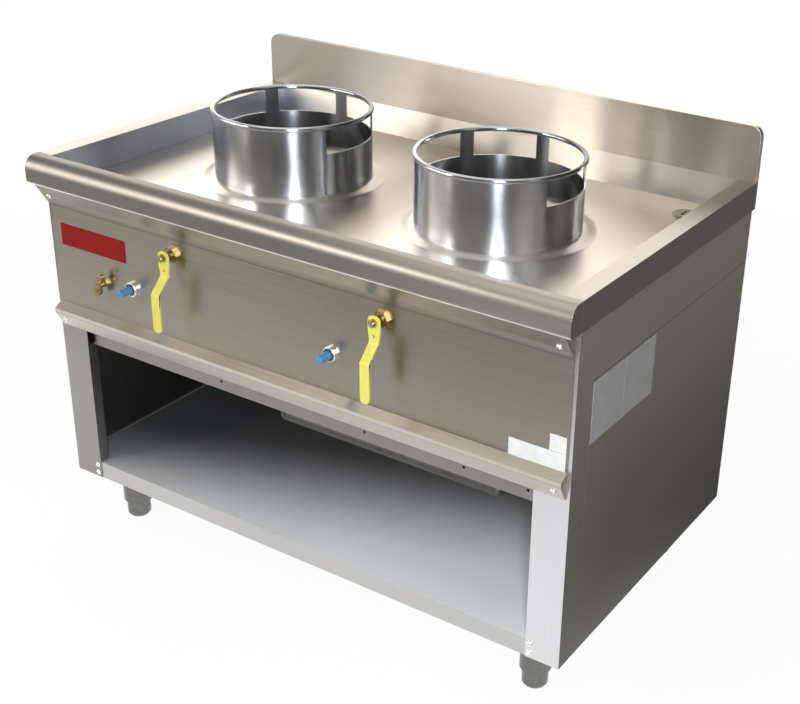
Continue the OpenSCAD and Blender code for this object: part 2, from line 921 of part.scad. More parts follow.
// Cast bowl with an off-centre inlet stub
module burner_bowl(x) {
    foot_in = 18;
    slope = 15;
    translate([x, 0, 0]) difference() {
        union() {
            rotate_extrude() polygon([
                [0, bowl_z],
                [burner_r - foot_in, bowl_z],
                [burner_r, bowl_z + slope],
                [burner_r, cap_z],
                [0, cap_z]
            ]);
            rod_y(lever_shift, mix_z, mix_r, bowl_stub_y, -burner_r / 2);
            rod_y(lever_shift, mix_z, mix_flange_r, bowl_stub_y, bowl_stub_y + mix_flange_t);
        }
        rotate_extrude() polygon([
            [0, bowl_z + cast_t],
            [burner_r - foot_in - cast_t / 2, bowl_z + cast_t],
            [burner_r - cast_t, bowl_z + slope + cast_t / 2],
            [burner_r - cast_t, cap_z + 1],
            [0, cap_z + 1]
        ]);
        rod_y(lever_shift, mix_z, mix_bore_r, bowl_stub_y - 1, 0);
    }
}

module left_burner_bowl() {
    color("#3c3b3a") burner_bowl(-ring_x);
}

module right_burner_bowl() {
    color("#3c3b3a") burner_bowl(ring_x);
}

// Cast cap: hollow below, with two rows of ports
module burner_cap(x) {
    shoulder = 12;
    crown_r = burner_r - 22;
    rows = [[crown_r + 9, port_count], [crown_r / 2, port_count / 2]];
    translate([x, 0, 0]) difference() {
        rotate_extrude() polygon([
            [0, cap_z + cap_h / 2],
            [burner_r - 3 * cast_t, cap_z + cap_h / 2],
            [burner_r - cast_t, cap_z],
            [burner_r, cap_z],
            [burner_r, cap_top_z - shoulder],
            [crown_r, cap_top_z],
            [0, cap_top_z]
        ]);
        for (row = rows, i = [0:row[1] - 1])
            rotate([0, 0, i * 360 / row[1]]) rod_z(row[0], 0, port_r, cap_z - 1, cap_top_z + 1);
    }
}

module left_burner_cap() {
    color("#2f2e2d") burner_cap(-ring_x);
}

module right_burner_cap() {
    color("#2f2e2d") burner_cap(ring_x);
}

// Mixing tubes, each with a flange at its bowl and a flared mouth
module mixing_tubes() {
    flare = 8;
    flare_len = 20;
    color("#55524f") for (x = lever_xs) turned_y(x, bowl_stub_y, mix_z) polygon([
        [mix_bore_r, 0],
        [mix_flange_r, 0],
        [mix_flange_r, mix_flange_t],
        [mix_r, mix_flange_t],
        [mix_r, mix_len - flare_len],
        [mix_r + flare, mix_len],
        [mix_bore_r + flare, mix_len],
        [mix_bore_r, mix_len - flare_len]
    ]);
}

// Elbows from the valves' outlets to the jets in front of the mixing tubes
module injector_elbow(x) {
    elbow_r = 11;
    jet_r = 7;
    jet_bore_r = 1.5;
    jet_gap = 12;
    jet_len = 16;
    valve_top_z = lever_z + valve_half_h;
    jet_y = mix_mouth_y - jet_gap;
    difference() {
        union() {
            rod_z(x, valve_y, elbow_r + 2, valve_top_z, mix_z + elbow_r);
            rod_y(x, mix_z, elbow_r, valve_y, jet_y - jet_len);
            rod_y(x, mix_z, jet_r, valve_y, jet_y);
        }
        rod_z(x, valve_y, gas_bore_r, valve_top_z - 1, mix_z);
        rod_y(x, mix_z, gas_bore_r - 2, valve_y, jet_y - jet_len - 4);
        rod_y(x, mix_z, jet_bore_r, valve_y, jet_y + 1);
    }
}

module injector_elbows() {
    color("#a88a4a") for (x = lever_xs) injector_elbow(x);
}

// Ball valve with an upright gas way and a neck that passes through the panel
module valve_body(x) {
    waist = valve_half_h - valve_hex_h;
    color("#b5974f") difference() {
        union() {
            rod_z(x, valve_y, valve_r, lever_z - waist, lever_z + waist);
            translate([x, valve_y, lever_z - valve_half_h]) cylinder(r = valve_hex_r, h = 2 * valve_half_h, $fn = 6);
            rod_y(x, lever_z, valve_shoulder_r, post_y, valve_y);
            rod_y(x, lever_z, valve_neck_r, face_y - valve_neck_out, valve_y);
        }
        rod_z(x, valve_y, gas_bore_r, lever_z - valve_half_h - 1, lever_z + valve_half_h + 1);
        translate([x, valve_y, lever_z]) sphere(ball_r + ball_gap);
        rod_y(x, lever_z, stem_r + run_gap, face_y - valve_neck_out - 1, valve_y);
    }
}

module left_valve_body() {
    valve_body(lever_xs[0]);
}

module right_valve_body() {
    valve_body(lever_xs[1]);
}

// Nuts that clamp the two valves and the pilot tap to the panel
module panel_nuts() {
    color("#c9b06a") {
        for (x = lever_xs) difference() {
            hex_y(x, lever_z, valve_neck_r + 6, face_y - nut_t, face_y);
            rod_y(x, lever_z, valve_neck_r + fit_gap / 2, face_y - nut_t - 1, face_y + 1);
        }
        difference() {
            hex_y(tap_x, tap_z, tap_nut_r, face_y - nut_t + 2, face_y);
            rod_y(tap_x, tap_z, tap_neck_r + fit_gap / 2, face_y - nut_t - 1, face_y + 1);
        }
    }
}

// Ball with its gas way, and the stem that carries the lever
module valve_ball(x) {
    end_y = head_y - lever_t - lever_nut_t - stem_end_t;
    color("#d0d0d0") difference() {
        union() {
            translate([x, valve_y, lever_z]) sphere(ball_r);
            rod_y(x, lever_z, stem_r, end_y, valve_y - ball_r / 2);
            rod_y(x, lever_z, stem_shoulder_r, head_y, head_y + stem_shoulder_t);
        }
        rod_z(x, valve_y, gas_bore_r, lever_z - 2 * ball_r, lever_z + 2 * ball_r);
    }
}

module left_valve_ball() {
    valve_ball(lever_xs[0]);
}

module right_valve_ball() {
    valve_ball(lever_xs[1]);
}

// Flat lever: round head on the stem, outward bend, grip with a round end
module lever(x) {
    tip_r = lever_w / 2;
    bend_z = lever_z - lever_neck;
    color("#efe04a") difference() {
        intersection() {
            along_x(x - 2 * lever_head_r, x + 2 * lever_head_r) folded([
                [head_y - lever_t, lever_z + lever_head_r],
                [head_y - lever_t, bend_z],
                [lever_front_y, bend_z - lever_bend_h],
                [lever_front_y, lever_z - lever_len]
            ], lever_t);
            along_y(lever_front_y - 1, head_y + 1) translate([x, lever_z]) {
                circle(lever_head_r);
                translate([-tip_r, tip_r - lever_len]) square([lever_w, lever_len - tip_r]);
                translate([0, tip_r - lever_len]) circle(tip_r);
            }
        }
        rod_y(x, lever_z, stem_r + run_gap, head_y - lever_t - 1, head_y + 1);
        rod_y(x, lever_z - lever_hole_down, lever_hole_r, head_y - lever_t - 1, head_y + 1);
    }
}

module left_lever() {
    lever(lever_xs[0]);
}

module right_lever() {
    lever(lever_xs[1]);
}

module lever_nut(x) {
    y1 = head_y - lever_t;
    color("#b99a48") difference() {
        hex_y(x, lever_z, lever_nut_r, y1 - lever_nut_t, y1);
        rod_y(x, lever_z, stem_r + run_gap, y1 - lever_nut_t - 1, y1 + 1);
    }
}

module left_lever_nut() {
    lever_nut(lever_xs[0]);
}

module right_lever_nut() {
    lever_nut(lever_xs[1]);
}

// Igniter barrels behind the panel, each with a neck through it and a blind bore for the button
module igniter_bodies() {
    neck_y = face_y - collar_t - 1;
    color("#2e2e30") for (x = lever_xs) turned_y(x - button_left, barrel_back_y, button_z) polygon([
        [0, 0],
        [barrel_r, 0],
        [barrel_r, barrel_back_y - post_y],
        [neck_r, barrel_back_y - post_y],
        [neck_r, barrel_back_y - neck_y],
        [button_r + run_gap, barrel_back_y - neck_y],
        [button_r + run_gap, barrel_back_y - button_bore_y],
        [0, barrel_back_y - button_bore_y]
    ]);
}

// Chrome nuts that hold the igniters to the panel
module igniter_collars() {
    bevel = 1.5;
    collar_out_r = neck_r + 3;
    color("#dcdde0") for (x = lever_xs) turned_y(x - button_left, face_y, button_z) polygon([
        [neck_r + fit_gap / 2, 0],
        [collar_out_r, 0],
        [collar_out_r, collar_t - bevel],
        [collar_out_r - bevel, collar_t],
        [neck_r + fit_gap / 2, collar_t]
    ]);
}

// Return springs, as closed sleeves on the floor of each igniter's bore
module button_springs() {
    outer = button_r - spring_wall;
    color("#9a9a9a") for (x = lever_xs) turned_y(x - button_left, button_bore_y, button_z)
        translate([outer - spring_wall, 0]) square([spring_wall, spring_len]);
}

// Push button with a rounded tip
module button(x) {
    bevel = 3;
    length = button_in_y - button_tip_y;
    color("#2f74c0") turned_y(x, button_in_y, button_z) union() {
        square([button_r, length - bevel]);
        square([button_r - bevel, length]);
        translate([button_r - bevel, length - bevel]) circle(bevel);
    }
}

module left_button() {
    button(lever_xs[0] - button_left);
}

module right_button() {
    button(lever_xs[1] - button_left);
}

// Lead from an igniter to its electrode, joined by balls at its corners
module igniter_lead(x0, x1) {
    z1 = bowl_z + electrode_base_h / 2;
    end_y = -rail_y - electrode_base / 2;
    rod_y(x0, button_z, lead_r, barrel_back_y, lead_y);
    translate([x0, lead_y, button_z]) sphere(lead_r);
    rod_z(x0, lead_y, lead_r, button_z, lead_run_z);
    translate([x0, lead_y, lead_run_z]) sphere(lead_r);
    rod_x(lead_y, lead_run_z, lead_r, x0, x1);
    translate([x1, lead_y, lead_run_z]) sphere(lead_r);
    rod_z(x1, lead_y, lead_r, lead_run_z, z1);
    translate([x1, lead_y, z1]) sphere(lead_r);
    rod_y(x1, z1, lead_r, lead_y, end_y);
}

module igniter_leads() {
    color("#7a2a22") for (i = [0, 1])
        igniter_lead(lever_xs[i] - button_left, (2 * i - 1) * ring_x + electrode_side);
}

module spark_electrodes() {
    base_top = bowl_z + electrode_base_h;
    color("#e3e0d8") for (s = [-1, 1]) translate([s * ring_x + electrode_side, -rail_y, 0]) {
        translate([0, 0, bowl_z]) linear_extrude(electrode_base_h) square(electrode_base, center = true);
        rod_z(0, 0, electrode_r, bowl_z, electrode_top_z);
        rod_z(0, 0, spark_r, electrode_top_z - 1, electrode_top_z + spark_reach);
    }
}

// Tap body: neck through the panel, barrel and a square block over the manifold
module pilot_tap_body() {
    half = tap_block / 2;
    color("#b8953f") difference() {
        union() {
            rod_y(tap_x, tap_z, tap_neck_r, face_y - tap_neck_out, post_y);
            rod_y(tap_x, tap_z, tap_barrel_r, post_y, valve_y);
            block([tap_x - half, valve_y - half, tap_z - half], [tap_x + half, valve_y + half, tap_z + half]);
        }
        rod_y(tap_x, tap_z, tap_stem_r + run_gap, face_y - tap_neck_out - 1, post_y + tap_stem_in + 1);
        rod_z(tap_x, valve_y, tap_riser_bore_r, tap_z - half - 1, tap_z);
        rod_y(tap_x, tap_z, tap_riser_bore_r, valve_y, valve_y + half + 1);
    }
}

// Winged handle on its stem
module pilot_tap_handle() {
    hub_y = face_y - tap_neck_out - tap_hub_gap;
    end_r = tap_wing_w / 2;
    reach = tap_handle_len / 2 - end_r;
    color("#c8a54e") {
        rod_y(tap_x, tap_z, tap_stem_r, hub_y - tap_hub_t, post_y + tap_stem_in);
        rod_y(tap_x, tap_z, tap_hub_r, hub_y - tap_hub_t, hub_y);
        along_y(hub_y - tap_hub_t, hub_y - tap_hub_t + tap_wing_t) translate([tap_x, tap_z]) rotate(tap_tilt) {
            square([tap_wing_w - 4, 2 * reach], center = true);
            for (s = [-1, 1]) translate([0, s * reach]) circle(end_r);
        }
    }
}

// Pilot pipe from the tap to a head beside each burner
module pilot_line() {
    half = tap_block / 2;
    xs = [pilot_side - ring_x, pilot_side + ring_x];
    color("#b26b3c") {
        rod_y(tap_x, tap_z, pilot_r, valve_y + half, pilot_y);
        translate([tap_x, pilot_y, tap_z]) sphere(pilot_r);
        rod_x(pilot_y, tap_z, pilot_r, tap_x, xs[1]);
        translate([xs[1], pilot_y, tap_z]) sphere(pilot_r);
        for (x = xs) {
            rod_z(x, pilot_y, pilot_r, tap_z, pilot_top_z);
            rod_z(x, pilot_y, pilot_head_r, pilot_top_z - pilot_head_h, pilot_top_z);
        }
    }
}

// Manifold with risers to the valves and the tap, and a boss for the supply pipe
module gas_manifold() {
    x0 = tap_x - manifold_end;
    x1 = lever_xs[1] + manifold_end;
    valve_low_z = lever_z - valve_half_h;
    tap_low_z = tap_z - tap_block / 2;
    boss_z = manifold_z - riser_boss_h;
    bore_r = manifold_r - pipe_wall;
    color("#7c7a78") difference() {
        union() {
            rod_x(valve_y, manifold_z, manifold_r, x0, x1);
            for (x = lever_xs) rod_z(x, valve_y, valve_riser_r, manifold_z, valve_low_z);
            rod_z(tap_x, valve_y, tap_riser_r, manifold_z, tap_low_z);
            rod_z(riser_x, valve_y, supply_r, boss_z, manifold_z);
        }
        rod_x(valve_y, manifold_z, bore_r, x0 + pipe_wall, x1 - pipe_wall);
        for (x = lever_xs) rod_z(x, valve_y, gas_bore_r, manifold_z, valve_low_z + 1);
        rod_z(tap_x, valve_y, tap_riser_bore_r, manifold_z, tap_low_z + 1);
        rod_z(riser_x, valve_y, supply_bore_r, boss_z - 1, manifold_z);
    }
}

// Run of the supply pipe at one radius, from the rear inlet to the manifold's boss
module supply_run(r, spare) {
    boss_z = manifold_z - riser_boss_h;
    rod_y(inlet_x, supply_z, r, valve_y, inlet_end_y - inlet_len + spare * (inlet_len + 1));
    translate([inlet_x, valve_y, supply_z]) sphere(r);
    rod_x(valve_y, supply_z, r, riser_x, inlet_x);
    translate([riser_x, valve_y, supply_z]) sphere(r);
    rod_z(riser_x, valve_y, r, supply_z, boss_z + spare);
}

module supply_pipe() {
    spigot_y = inlet_end_y - inlet_len;
    color("#5d5b5a") difference() {
        union() {
            supply_run(supply_r, 0);
            rod_y(inlet_x, supply_z, inlet_r, spigot_y, inlet_end_y);
            hex_y(inlet_x, supply_z, inlet_hex_r, spigot_y - inlet_hex_t, spigot_y);
        }
        supply_run(supply_bore_r, 1);
    }
}

front_rim();
left_rim();
right_rim();
basin_wall();
basin_floor();
burner_collars();
splashback();
left_wok_ring();
right_wok_ring();
drain_fitting();
drain_grate();
left_side_panel();
right_side_panel();
left_apron();
right_apron();
back_panel();
left_post();
right_post();
shelf();
compartment_floor();
control_panel();
panel_screws();
post_screws();
badge_plate();
notice_plates();
side_plates();
leg_sockets();
front_left_foot();
front_right_foot();
rear_left_foot();
rear_right_foot();
burner_rails();
left_burner_bowl();
right_burner_bowl();
left_burner_cap();
right_burner_cap();
mixing_tubes();
injector_elbows();
left_valve_body();
right_valve_body();
panel_nuts();
left_valve_ball();
right_valve_ball();
left_lever();
right_lever();
left_lever_nut();
right_lever_nut();
igniter_bodies();
igniter_collars();
button_springs();
left_button();
right_button();
igniter_leads();
spark_electrodes();
pilot_tap_body();
pilot_tap_handle();
pilot_line();
gas_manifold();
supply_pipe();
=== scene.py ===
# %% [markdown]
# # A two-ring gas wok range in brushed stainless steel
# The range is a folded sheet cabinet on four adjustable feet. A sunk basin with two wok rings is its
# worktop, and a control panel carries the levers, buttons and pilot tap. The solids come from the CAD
# model, already in place and in metres, so this lesson is about finishes, light and small formed pieces.

# %% Load the frame
import json
import math

import bpy
from mathutils import Matrix, Vector

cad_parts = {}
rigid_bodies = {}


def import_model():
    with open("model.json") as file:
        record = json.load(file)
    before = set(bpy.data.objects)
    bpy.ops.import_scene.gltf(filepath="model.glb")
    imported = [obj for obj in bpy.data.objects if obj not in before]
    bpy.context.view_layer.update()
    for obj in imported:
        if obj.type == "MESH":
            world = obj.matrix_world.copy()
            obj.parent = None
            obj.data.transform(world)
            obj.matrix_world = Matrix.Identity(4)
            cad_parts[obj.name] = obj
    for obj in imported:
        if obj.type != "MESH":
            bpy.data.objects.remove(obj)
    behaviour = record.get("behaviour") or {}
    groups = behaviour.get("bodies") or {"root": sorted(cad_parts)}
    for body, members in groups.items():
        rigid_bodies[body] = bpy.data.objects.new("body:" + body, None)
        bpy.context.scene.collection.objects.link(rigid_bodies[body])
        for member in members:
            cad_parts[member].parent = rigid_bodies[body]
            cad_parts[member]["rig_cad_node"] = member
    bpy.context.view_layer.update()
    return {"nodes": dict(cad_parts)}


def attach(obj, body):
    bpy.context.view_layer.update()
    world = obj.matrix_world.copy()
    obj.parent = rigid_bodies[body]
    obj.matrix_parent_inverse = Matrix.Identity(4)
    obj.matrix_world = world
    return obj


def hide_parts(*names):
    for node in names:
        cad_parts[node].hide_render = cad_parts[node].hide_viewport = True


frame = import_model()
nodes = frame["nodes"]

# %% [markdown]
# ## Camera
# The range is seen from its front right corner, from about head height, with a short telephoto lens. The lens
# axis lies right of the middle of the frame, as in a cropped picture, so the lens is shifted. Turning the
# camera instead would bend the verticals another way.

# %% Set up the camera
CAMERA_AT = (1.5725, -2.1715, 1.7901)
LOOK_TURN = math.radians(30.81)
LOOK_DOWN = math.radians(25.70)
HEAD_TILT = math.radians(2.25)
SENSOR_W = 36.0
LENS = 60.5
SHIFT_X = -0.125
SHIFT_Y = -0.00875

bpy.ops.object.select_all(action="DESELECT")
bpy.ops.object.camera_add(location=CAMERA_AT)
camera = bpy.context.object
camera.name = "photo_camera"
turn = Matrix.Rotation(LOOK_TURN, 4, "Z")
tip = Matrix.Rotation(math.pi / 2 - LOOK_DOWN, 4, "X")
tilt = Matrix.Rotation(HEAD_TILT, 4, "Z")
camera.matrix_world = Matrix.Translation(CAMERA_AT) @ turn @ tip @ tilt
camera.data.sensor_width = SENSOR_W
camera.data.lens = LENS
camera.data.shift_x = SHIFT_X
camera.data.shift_y = SHIFT_Y
bpy.context.scene.camera = camera
print("camera:", camera.data.lens, "mm lens")

# %% [markdown]
# ## Studio
# Steel shows what stands around it, so the studio is part of the finish. A pale floor gives the front its
# soft sheen, and its mirrored colour turns grey further out, so that the sheen fades. Two cool lamps by the
# camera draw the narrow bright band on the rings and light the shelf, a large one behind the left end lights
# up the basin, and others fill in from the left, the right and overhead. The air that the steel mirrors is pale
# on the left only, and plain white where the camera looks past the range.

# %% Make the floor
FLOOR_FRONT = -1.0
FLOOR_RIGHT = 0.62
FLOOR_SLANT = 0.35
FLOOR_STEEP = 2.6
FADE_REACH = 0.9
FLOOR_PALE = (0.92, 0.92, 0.92, 1)
FLOOR_GREY = (0.26, 0.25, 0.24, 1)
WHITE = (1.0, 1.0, 1.0, 1)
CLEAR_SPAN = {"From Min": 1.2, "From Max": 3.0, "To Min": 0.92, "To Max": 1.0}

bpy.ops.object.select_all(action="DESELECT")
bpy.ops.mesh.primitive_plane_add(size=40.0, location=(0.0, 0.0, 0.0))
floor = bpy.context.object
floor.name = "studio_floor"
paint = bpy.data.materials.new("pale_floor_paint")
paint.use_nodes = True
parts = paint.node_tree.nodes
join = paint.node_tree.links.new
body = parts["Principled BSDF"]
body.inputs["Roughness"].default_value = 0.9
body.inputs["Specular IOR Level"].default_value = 0.1
where = parts.new("ShaderNodeTexCoord")
sides = parts.new("ShaderNodeSeparateXYZ")
join(where.outputs["Object"], sides.inputs["Vector"])


def sum_node(kind, first, second):
    node = parts.new("ShaderNodeMath")
    node.operation = kind
    for slot, value in enumerate((first, second)):
        if isinstance(value, float):
            node.inputs[slot].default_value = value
        else:
            join(value, node.inputs[slot])
    return node.outputs["Value"]


def mixed(factor, near, beyond):
    mix = parts.new("ShaderNodeMix")
    mix.data_type = "RGBA"
    mix.inputs["A"].default_value = near
    mix.inputs["B"].default_value = beyond
    join(factor, mix.inputs["Factor"])
    return mix.outputs["Result"]


slant = sum_node("MULTIPLY", sides.outputs["Y"], FLOOR_SLANT)
past_right = sum_node("SUBTRACT", sum_node("ADD", sides.outputs["X"], slant), FLOOR_RIGHT)
past_right = sum_node("MULTIPLY", past_right, FLOOR_STEEP)
past_front = sum_node("SUBTRACT", FLOOR_FRONT, sides.outputs["Y"])
away = sum_node("MAXIMUM", past_right, past_front)
fade = parts.new("ShaderNodeMapRange")
fade.interpolation_type = "SMOOTHSTEP"
fade.inputs["From Max"].default_value = FADE_REACH
join(away, fade.inputs["Value"])
path = parts.new("ShaderNodeLightPath")
mirrored = sum_node("SUBTRACT", 1.0, path.outputs["Is Camera Ray"])
greyer = sum_node("MULTIPLY", fade.outputs["Result"], mirrored)
join(mixed(greyer, FLOOR_PALE, FLOOR_GREY), body.inputs["Base Color"])
seen = sum_node("MAXIMUM", path.outputs["Is Camera Ray"], path.outputs["Is Glossy Ray"])
seen = sum_node("MAXIMUM", seen, path.outputs["Is Transmission Ray"])
glow = parts.new("ShaderNodeEmission")
glow.inputs["Strength"].default_value = 1.0
join(mixed(greyer, WHITE, FLOOR_GREY), glow.inputs["Color"])
both = parts.new("ShaderNodeMixShader")
far = parts.new("ShaderNodeVectorMath")
far.operation = "LENGTH"
join(where.outputs["Object"], far.inputs[0])
clear = parts.new("ShaderNodeMapRange")
for name, value in CLEAR_SPAN.items():
    clear.inputs[name].default_value = value
join(far.outputs["Value"], clear.inputs["Value"])
join(sum_node("MULTIPLY", seen, clear.outputs["Result"]), both.inputs["Fac"])
join(body.outputs["BSDF"], both.inputs[1])
join(glow.outputs["Emission"], both.inputs[2])
join(both.outputs["Shader"], parts["Material Output"].inputs["Surface"])
floor.data.materials.append(paint)
print("floor:", floor.name)


# %% Hang the lamps
def soft_lamp(name, place, aim, size, watts):
    bpy.ops.object.select_all(action="DESELECT")
    bpy.ops.object.light_add(type="AREA", location=place)
    lamp = bpy.context.object
    lamp.name = name
    lamp.data.shape = "RECTANGLE"
    lamp.data.size, lamp.data.size_y = size
    lamp.data.energy = watts
    way = Vector(aim) - Vector(place)
    lamp.rotation_euler = way.to_track_quat("-Z", "Y").to_euler()
    return lamp


LAMPS = (
    soft_lamp("camera_lamp", (1.75, -2.45, 2.25), (0, 0, 0.9), (0.36, 1.1), 26),
    soft_lamp("left_lamp", (-3.5, -2.9, 1.9), (0, 0, 0.8), (3.2, 2.0), 78),
    soft_lamp("right_lamp", (3.9, -0.9, 2.2), (0, 0, 0.9), (1.2, 2.2), 6),
    soft_lamp("back_left_lamp", (-2.2, 3.4, 2.6), (0, 0, 0.85), (6.0, 3.4), 90),
    soft_lamp("overhead_lamp", (0.0, -0.6, 4.2), (0.0, -0.4, 0), (4.0, 4.0), 44),
    soft_lamp("shelf_lamp", (1.62, -2.25, 1.45), (0.2, -0.25, 0.3), (0.45, 0.45), 54),
    soft_lamp("small_left_lamp", (-1.89, -3.08, 2.10), (0.1, 0.387, 0.95), (0.45, 0.7), 20),
)
WARM = (1.0, 0.955, 0.885)
COOL_RED = {"camera_lamp": 0.80, "right_lamp": 0.9, "shelf_lamp": 0.92}
for lamp in LAMPS:
    red = COOL_RED.get(lamp.name)
    lamp.data.color = (red, (1.0 + red) / 2, 1.0) if red else WARM
    lamp.visible_camera = False
print("lamps:", [lamp.name for lamp in LAMPS])

# %% Fill the air with grey light
AIR_SIDES = ((0.94, 0.34, 0.0), (0.60, -0.80, 0.0))
AIR_PALE = (0.42, 0.415, 0.41, 1)
AIR_DARK = (0.11, 0.11, 0.11, 1)

air = bpy.data.worlds.new("studio_air")
air.use_nodes = True
bpy.context.scene.world = air
sky = air.node_tree.nodes["Background"]
add = air.node_tree.nodes.new
link = air.node_tree.links.new
ray = add("ShaderNodeTexCoord")
darker = add("ShaderNodeMath")
darker.operation = "MAXIMUM"
for slot, way in enumerate(AIR_SIDES):
    across = add("ShaderNodeVectorMath")
    across.operation = "DOT_PRODUCT"
    across.inputs[1].default_value = way
    link(ray.outputs["Generated"], across.inputs[0])
    link(across.outputs["Value"], darker.inputs[slot])
span = add("ShaderNodeMapRange")
span.inputs["From Min"].default_value = -1.0
link(darker.outputs["Value"], span.inputs["Value"])
ramp = add("ShaderNodeValToRGB")
ramp.color_ramp.elements[0].position = 0.30
ramp.color_ramp.elements[0].color = AIR_PALE
ramp.color_ramp.elements[1].position = 0.68
ramp.color_ramp.elements[1].color = AIR_DARK
link(span.outputs["Result"], ramp.inputs["Fac"])
plain_sky = add("ShaderNodeMix")
plain_sky.data_type = "RGBA"
plain_sky.inputs["B"].default_value = WHITE
kind = add("ShaderNodeLightPath")
link(kind.outputs["Is Camera Ray"], plain_sky.inputs["Factor"])
link(ramp.outputs["Color"], plain_sky.inputs["A"])
link(plain_sky.outputs["Result"], sky.inputs["Color"])
sky.inputs["Strength"].default_value = 1.0
bpy.context.scene.view_settings.view_transform = "Standard"
print("air:", air.name)

# %% [markdown]
# ## Satin stainless sheet
# The sheets leave the mill with a fine grain all in one direction, too fine to see from here as lines. It
# shows as a satin sheen that smears what is mirrored across the grain. A bump alone would sparkle, so the
# gloss is stretched by a tangent, and a very fine noise along the grain and a broad one for handling marks
# move the colour and the roughness a little. Painted shade darkens some sheets towards one side, and painted
# shade makes the basin floor a little darker between the two burners.

# %% A helper for all the node graphs
def start_finish(name, metal, rough, spec=0.5):
    finish = bpy.data.materials.new(name)
    finish.use_nodes = True
    skin = finish.node_tree.nodes["Principled BSDF"]
    skin.inputs["Metallic"].default_value = metal
    skin.inputs["Roughness"].default_value = rough
    skin.inputs["Specular IOR Level"].default_value = spec
    return finish, skin


def wire(finish, source, target):
    finish.node_tree.links.new(source, target)


def noise_on(finish, stretch, detail):
    where = finish.node_tree.nodes.new("ShaderNodeTexCoord")
    fit = finish.node_tree.nodes.new("ShaderNodeMapping")
    fit.inputs["Scale"].default_value = stretch
    noise = finish.node_tree.nodes.new("ShaderNodeTexNoise")
    noise.inputs["Scale"].default_value = 1.0
    noise.inputs["Detail"].default_value = detail
    wire(finish, where.outputs["Object"], fit.inputs["Vector"])
    wire(finish, fit.outputs["Vector"], noise.inputs["Vector"])
    return noise.outputs["Fac"]


def two_tones(finish, factor, dark, light, low=0.3, high=0.7):
    ramp = finish.node_tree.nodes.new("ShaderNodeValToRGB")
    ramp.color_ramp.elements[0].position = low
    ramp.color_ramp.elements[0].color = (*dark, 1)
    ramp.color_ramp.elements[1].position = high
    ramp.color_ramp.elements[1].color = (*light, 1)
    wire(finish, factor, ramp.inputs["Fac"])
    return ramp.outputs["Color"]


def multiplied(finish, first, second):
    mix = finish.node_tree.nodes.new("ShaderNodeMix")
    mix.data_type = "RGBA"
    mix.blend_type = "MULTIPLY"
    mix.inputs["Factor"].default_value = 1.0
    wire(finish, first, mix.inputs["A"])
    wire(finish, second, mix.inputs["B"])
    return mix.outputs["Result"]


def spread(finish, factor, low, high):
    span = finish.node_tree.nodes.new("ShaderNodeMapRange")
    span.inputs["From Min"].default_value = 0.3
    span.inputs["From Max"].default_value = 0.7
    span.inputs["To Min"].default_value = low
    span.inputs["To Max"].default_value = high
    wire(finish, factor, span.inputs["Value"])
    return span.outputs["Result"]


def relief(finish, factor, skin, depth, strength=1.0):
    bump = finish.node_tree.nodes.new("ShaderNodeBump")
    bump.inputs["Strength"].default_value = strength
    bump.inputs["Distance"].default_value = depth
    wire(finish, factor, bump.inputs["Height"])
    wire(finish, bump.outputs["Normal"], skin.inputs["Normal"])


print("helpers ready")

# %% Satin steel in several cuts, with painted light and shade in their tones
GRAIN_X = (5.0, 900.0, 900.0)
GRAIN_Y = (900.0, 5.0, 900.0)
GRAIN_Z = (900.0, 900.0, 5.0)
UPRIGHT = (0.0, 0.0, 1.0)
INWARD = (0.0, 1.0, 0.0)
SIDEWAYS = (1.0, 0.0, 0.0)


def shade(colour, amount):
    return tuple(min(1.0, c * amount) for c in colour)


def smear(finish, way, amount):
    skin = finish.node_tree.nodes["Principled BSDF"]
    lie = finish.node_tree.nodes.new("ShaderNodeCombineXYZ")
    for slot, part in zip("XYZ", way):
        lie.inputs[slot].default_value = part
    wire(finish, lie.outputs["Vector"], skin.inputs["Tangent"])
    skin.inputs["Anisotropic"].default_value = amount


def satin_steel(name, colour, grain, rough, way, amount=0.6, marks=0.10, depth=0.00002):
    finish, skin = start_finish(name, 1.0, rough)
    lines = noise_on(finish, grain, detail=3.0)
    cloud = noise_on(finish, (2.3, 2.3, 2.3), detail=2.0)
    fine = two_tones(finish, lines, shade(colour, 0.965), shade(colour, 1.035))
    broad = two_tones(finish, cloud, (1 - marks, 1 - marks, 1 - 0.9 * marks), (1, 1, 1))
    wire(finish, multiplied(finish, fine, broad), skin.inputs["Base Color"])
    wire(finish, spread(finish, lines, rough - 0.03, rough + 0.03), skin.inputs["Roughness"])
    relief(finish, lines, skin, depth, 0.3)
    smear(finish, way, amount)
    return finish


def dress(finish, *names):
    for name in names:
        for place in nodes[name].material_slots:
            place.material = finish
    print(finish.name, "on", len(names), "nodes")


# Painted shade: multiplies the base colour down towards a darker tone over a span of some value.
def paint_shade_by(finish, reach, low, high, dark):
    skin = finish.node_tree.nodes["Principled BSDF"]
    tint = skin.inputs["Base Color"].links[0].from_socket
    span = finish.node_tree.nodes.new("ShaderNodeMapRange")
    span.interpolation_type = "SMOOTHSTEP"
    span.inputs["From Min"].default_value = low
    span.inputs["From Max"].default_value = high
    wire(finish, reach, span.inputs["Value"])
    shade_factor = two_tones(finish, span.outputs["Result"], dark, (1, 1, 1), 0.0, 1.0)
    wire(finish, multiplied(finish, tint, shade_factor), skin.inputs["Base Color"])


# Painted shade: darkens a sheet's colour towards one side, along a given direction.
def shade_painted_along(finish, way, low, high, least):
    where = finish.node_tree.nodes.new("ShaderNodeTexCoord")
    reach = finish.node_tree.nodes.new("ShaderNodeVectorMath")
    reach.operation = "DOT_PRODUCT"
    reach.inputs[1].default_value = way
    wire(finish, where.outputs["Object"], reach.inputs[0])
    paint_shade_by(finish, reach.outputs["Value"], low, high, (least, least, least))
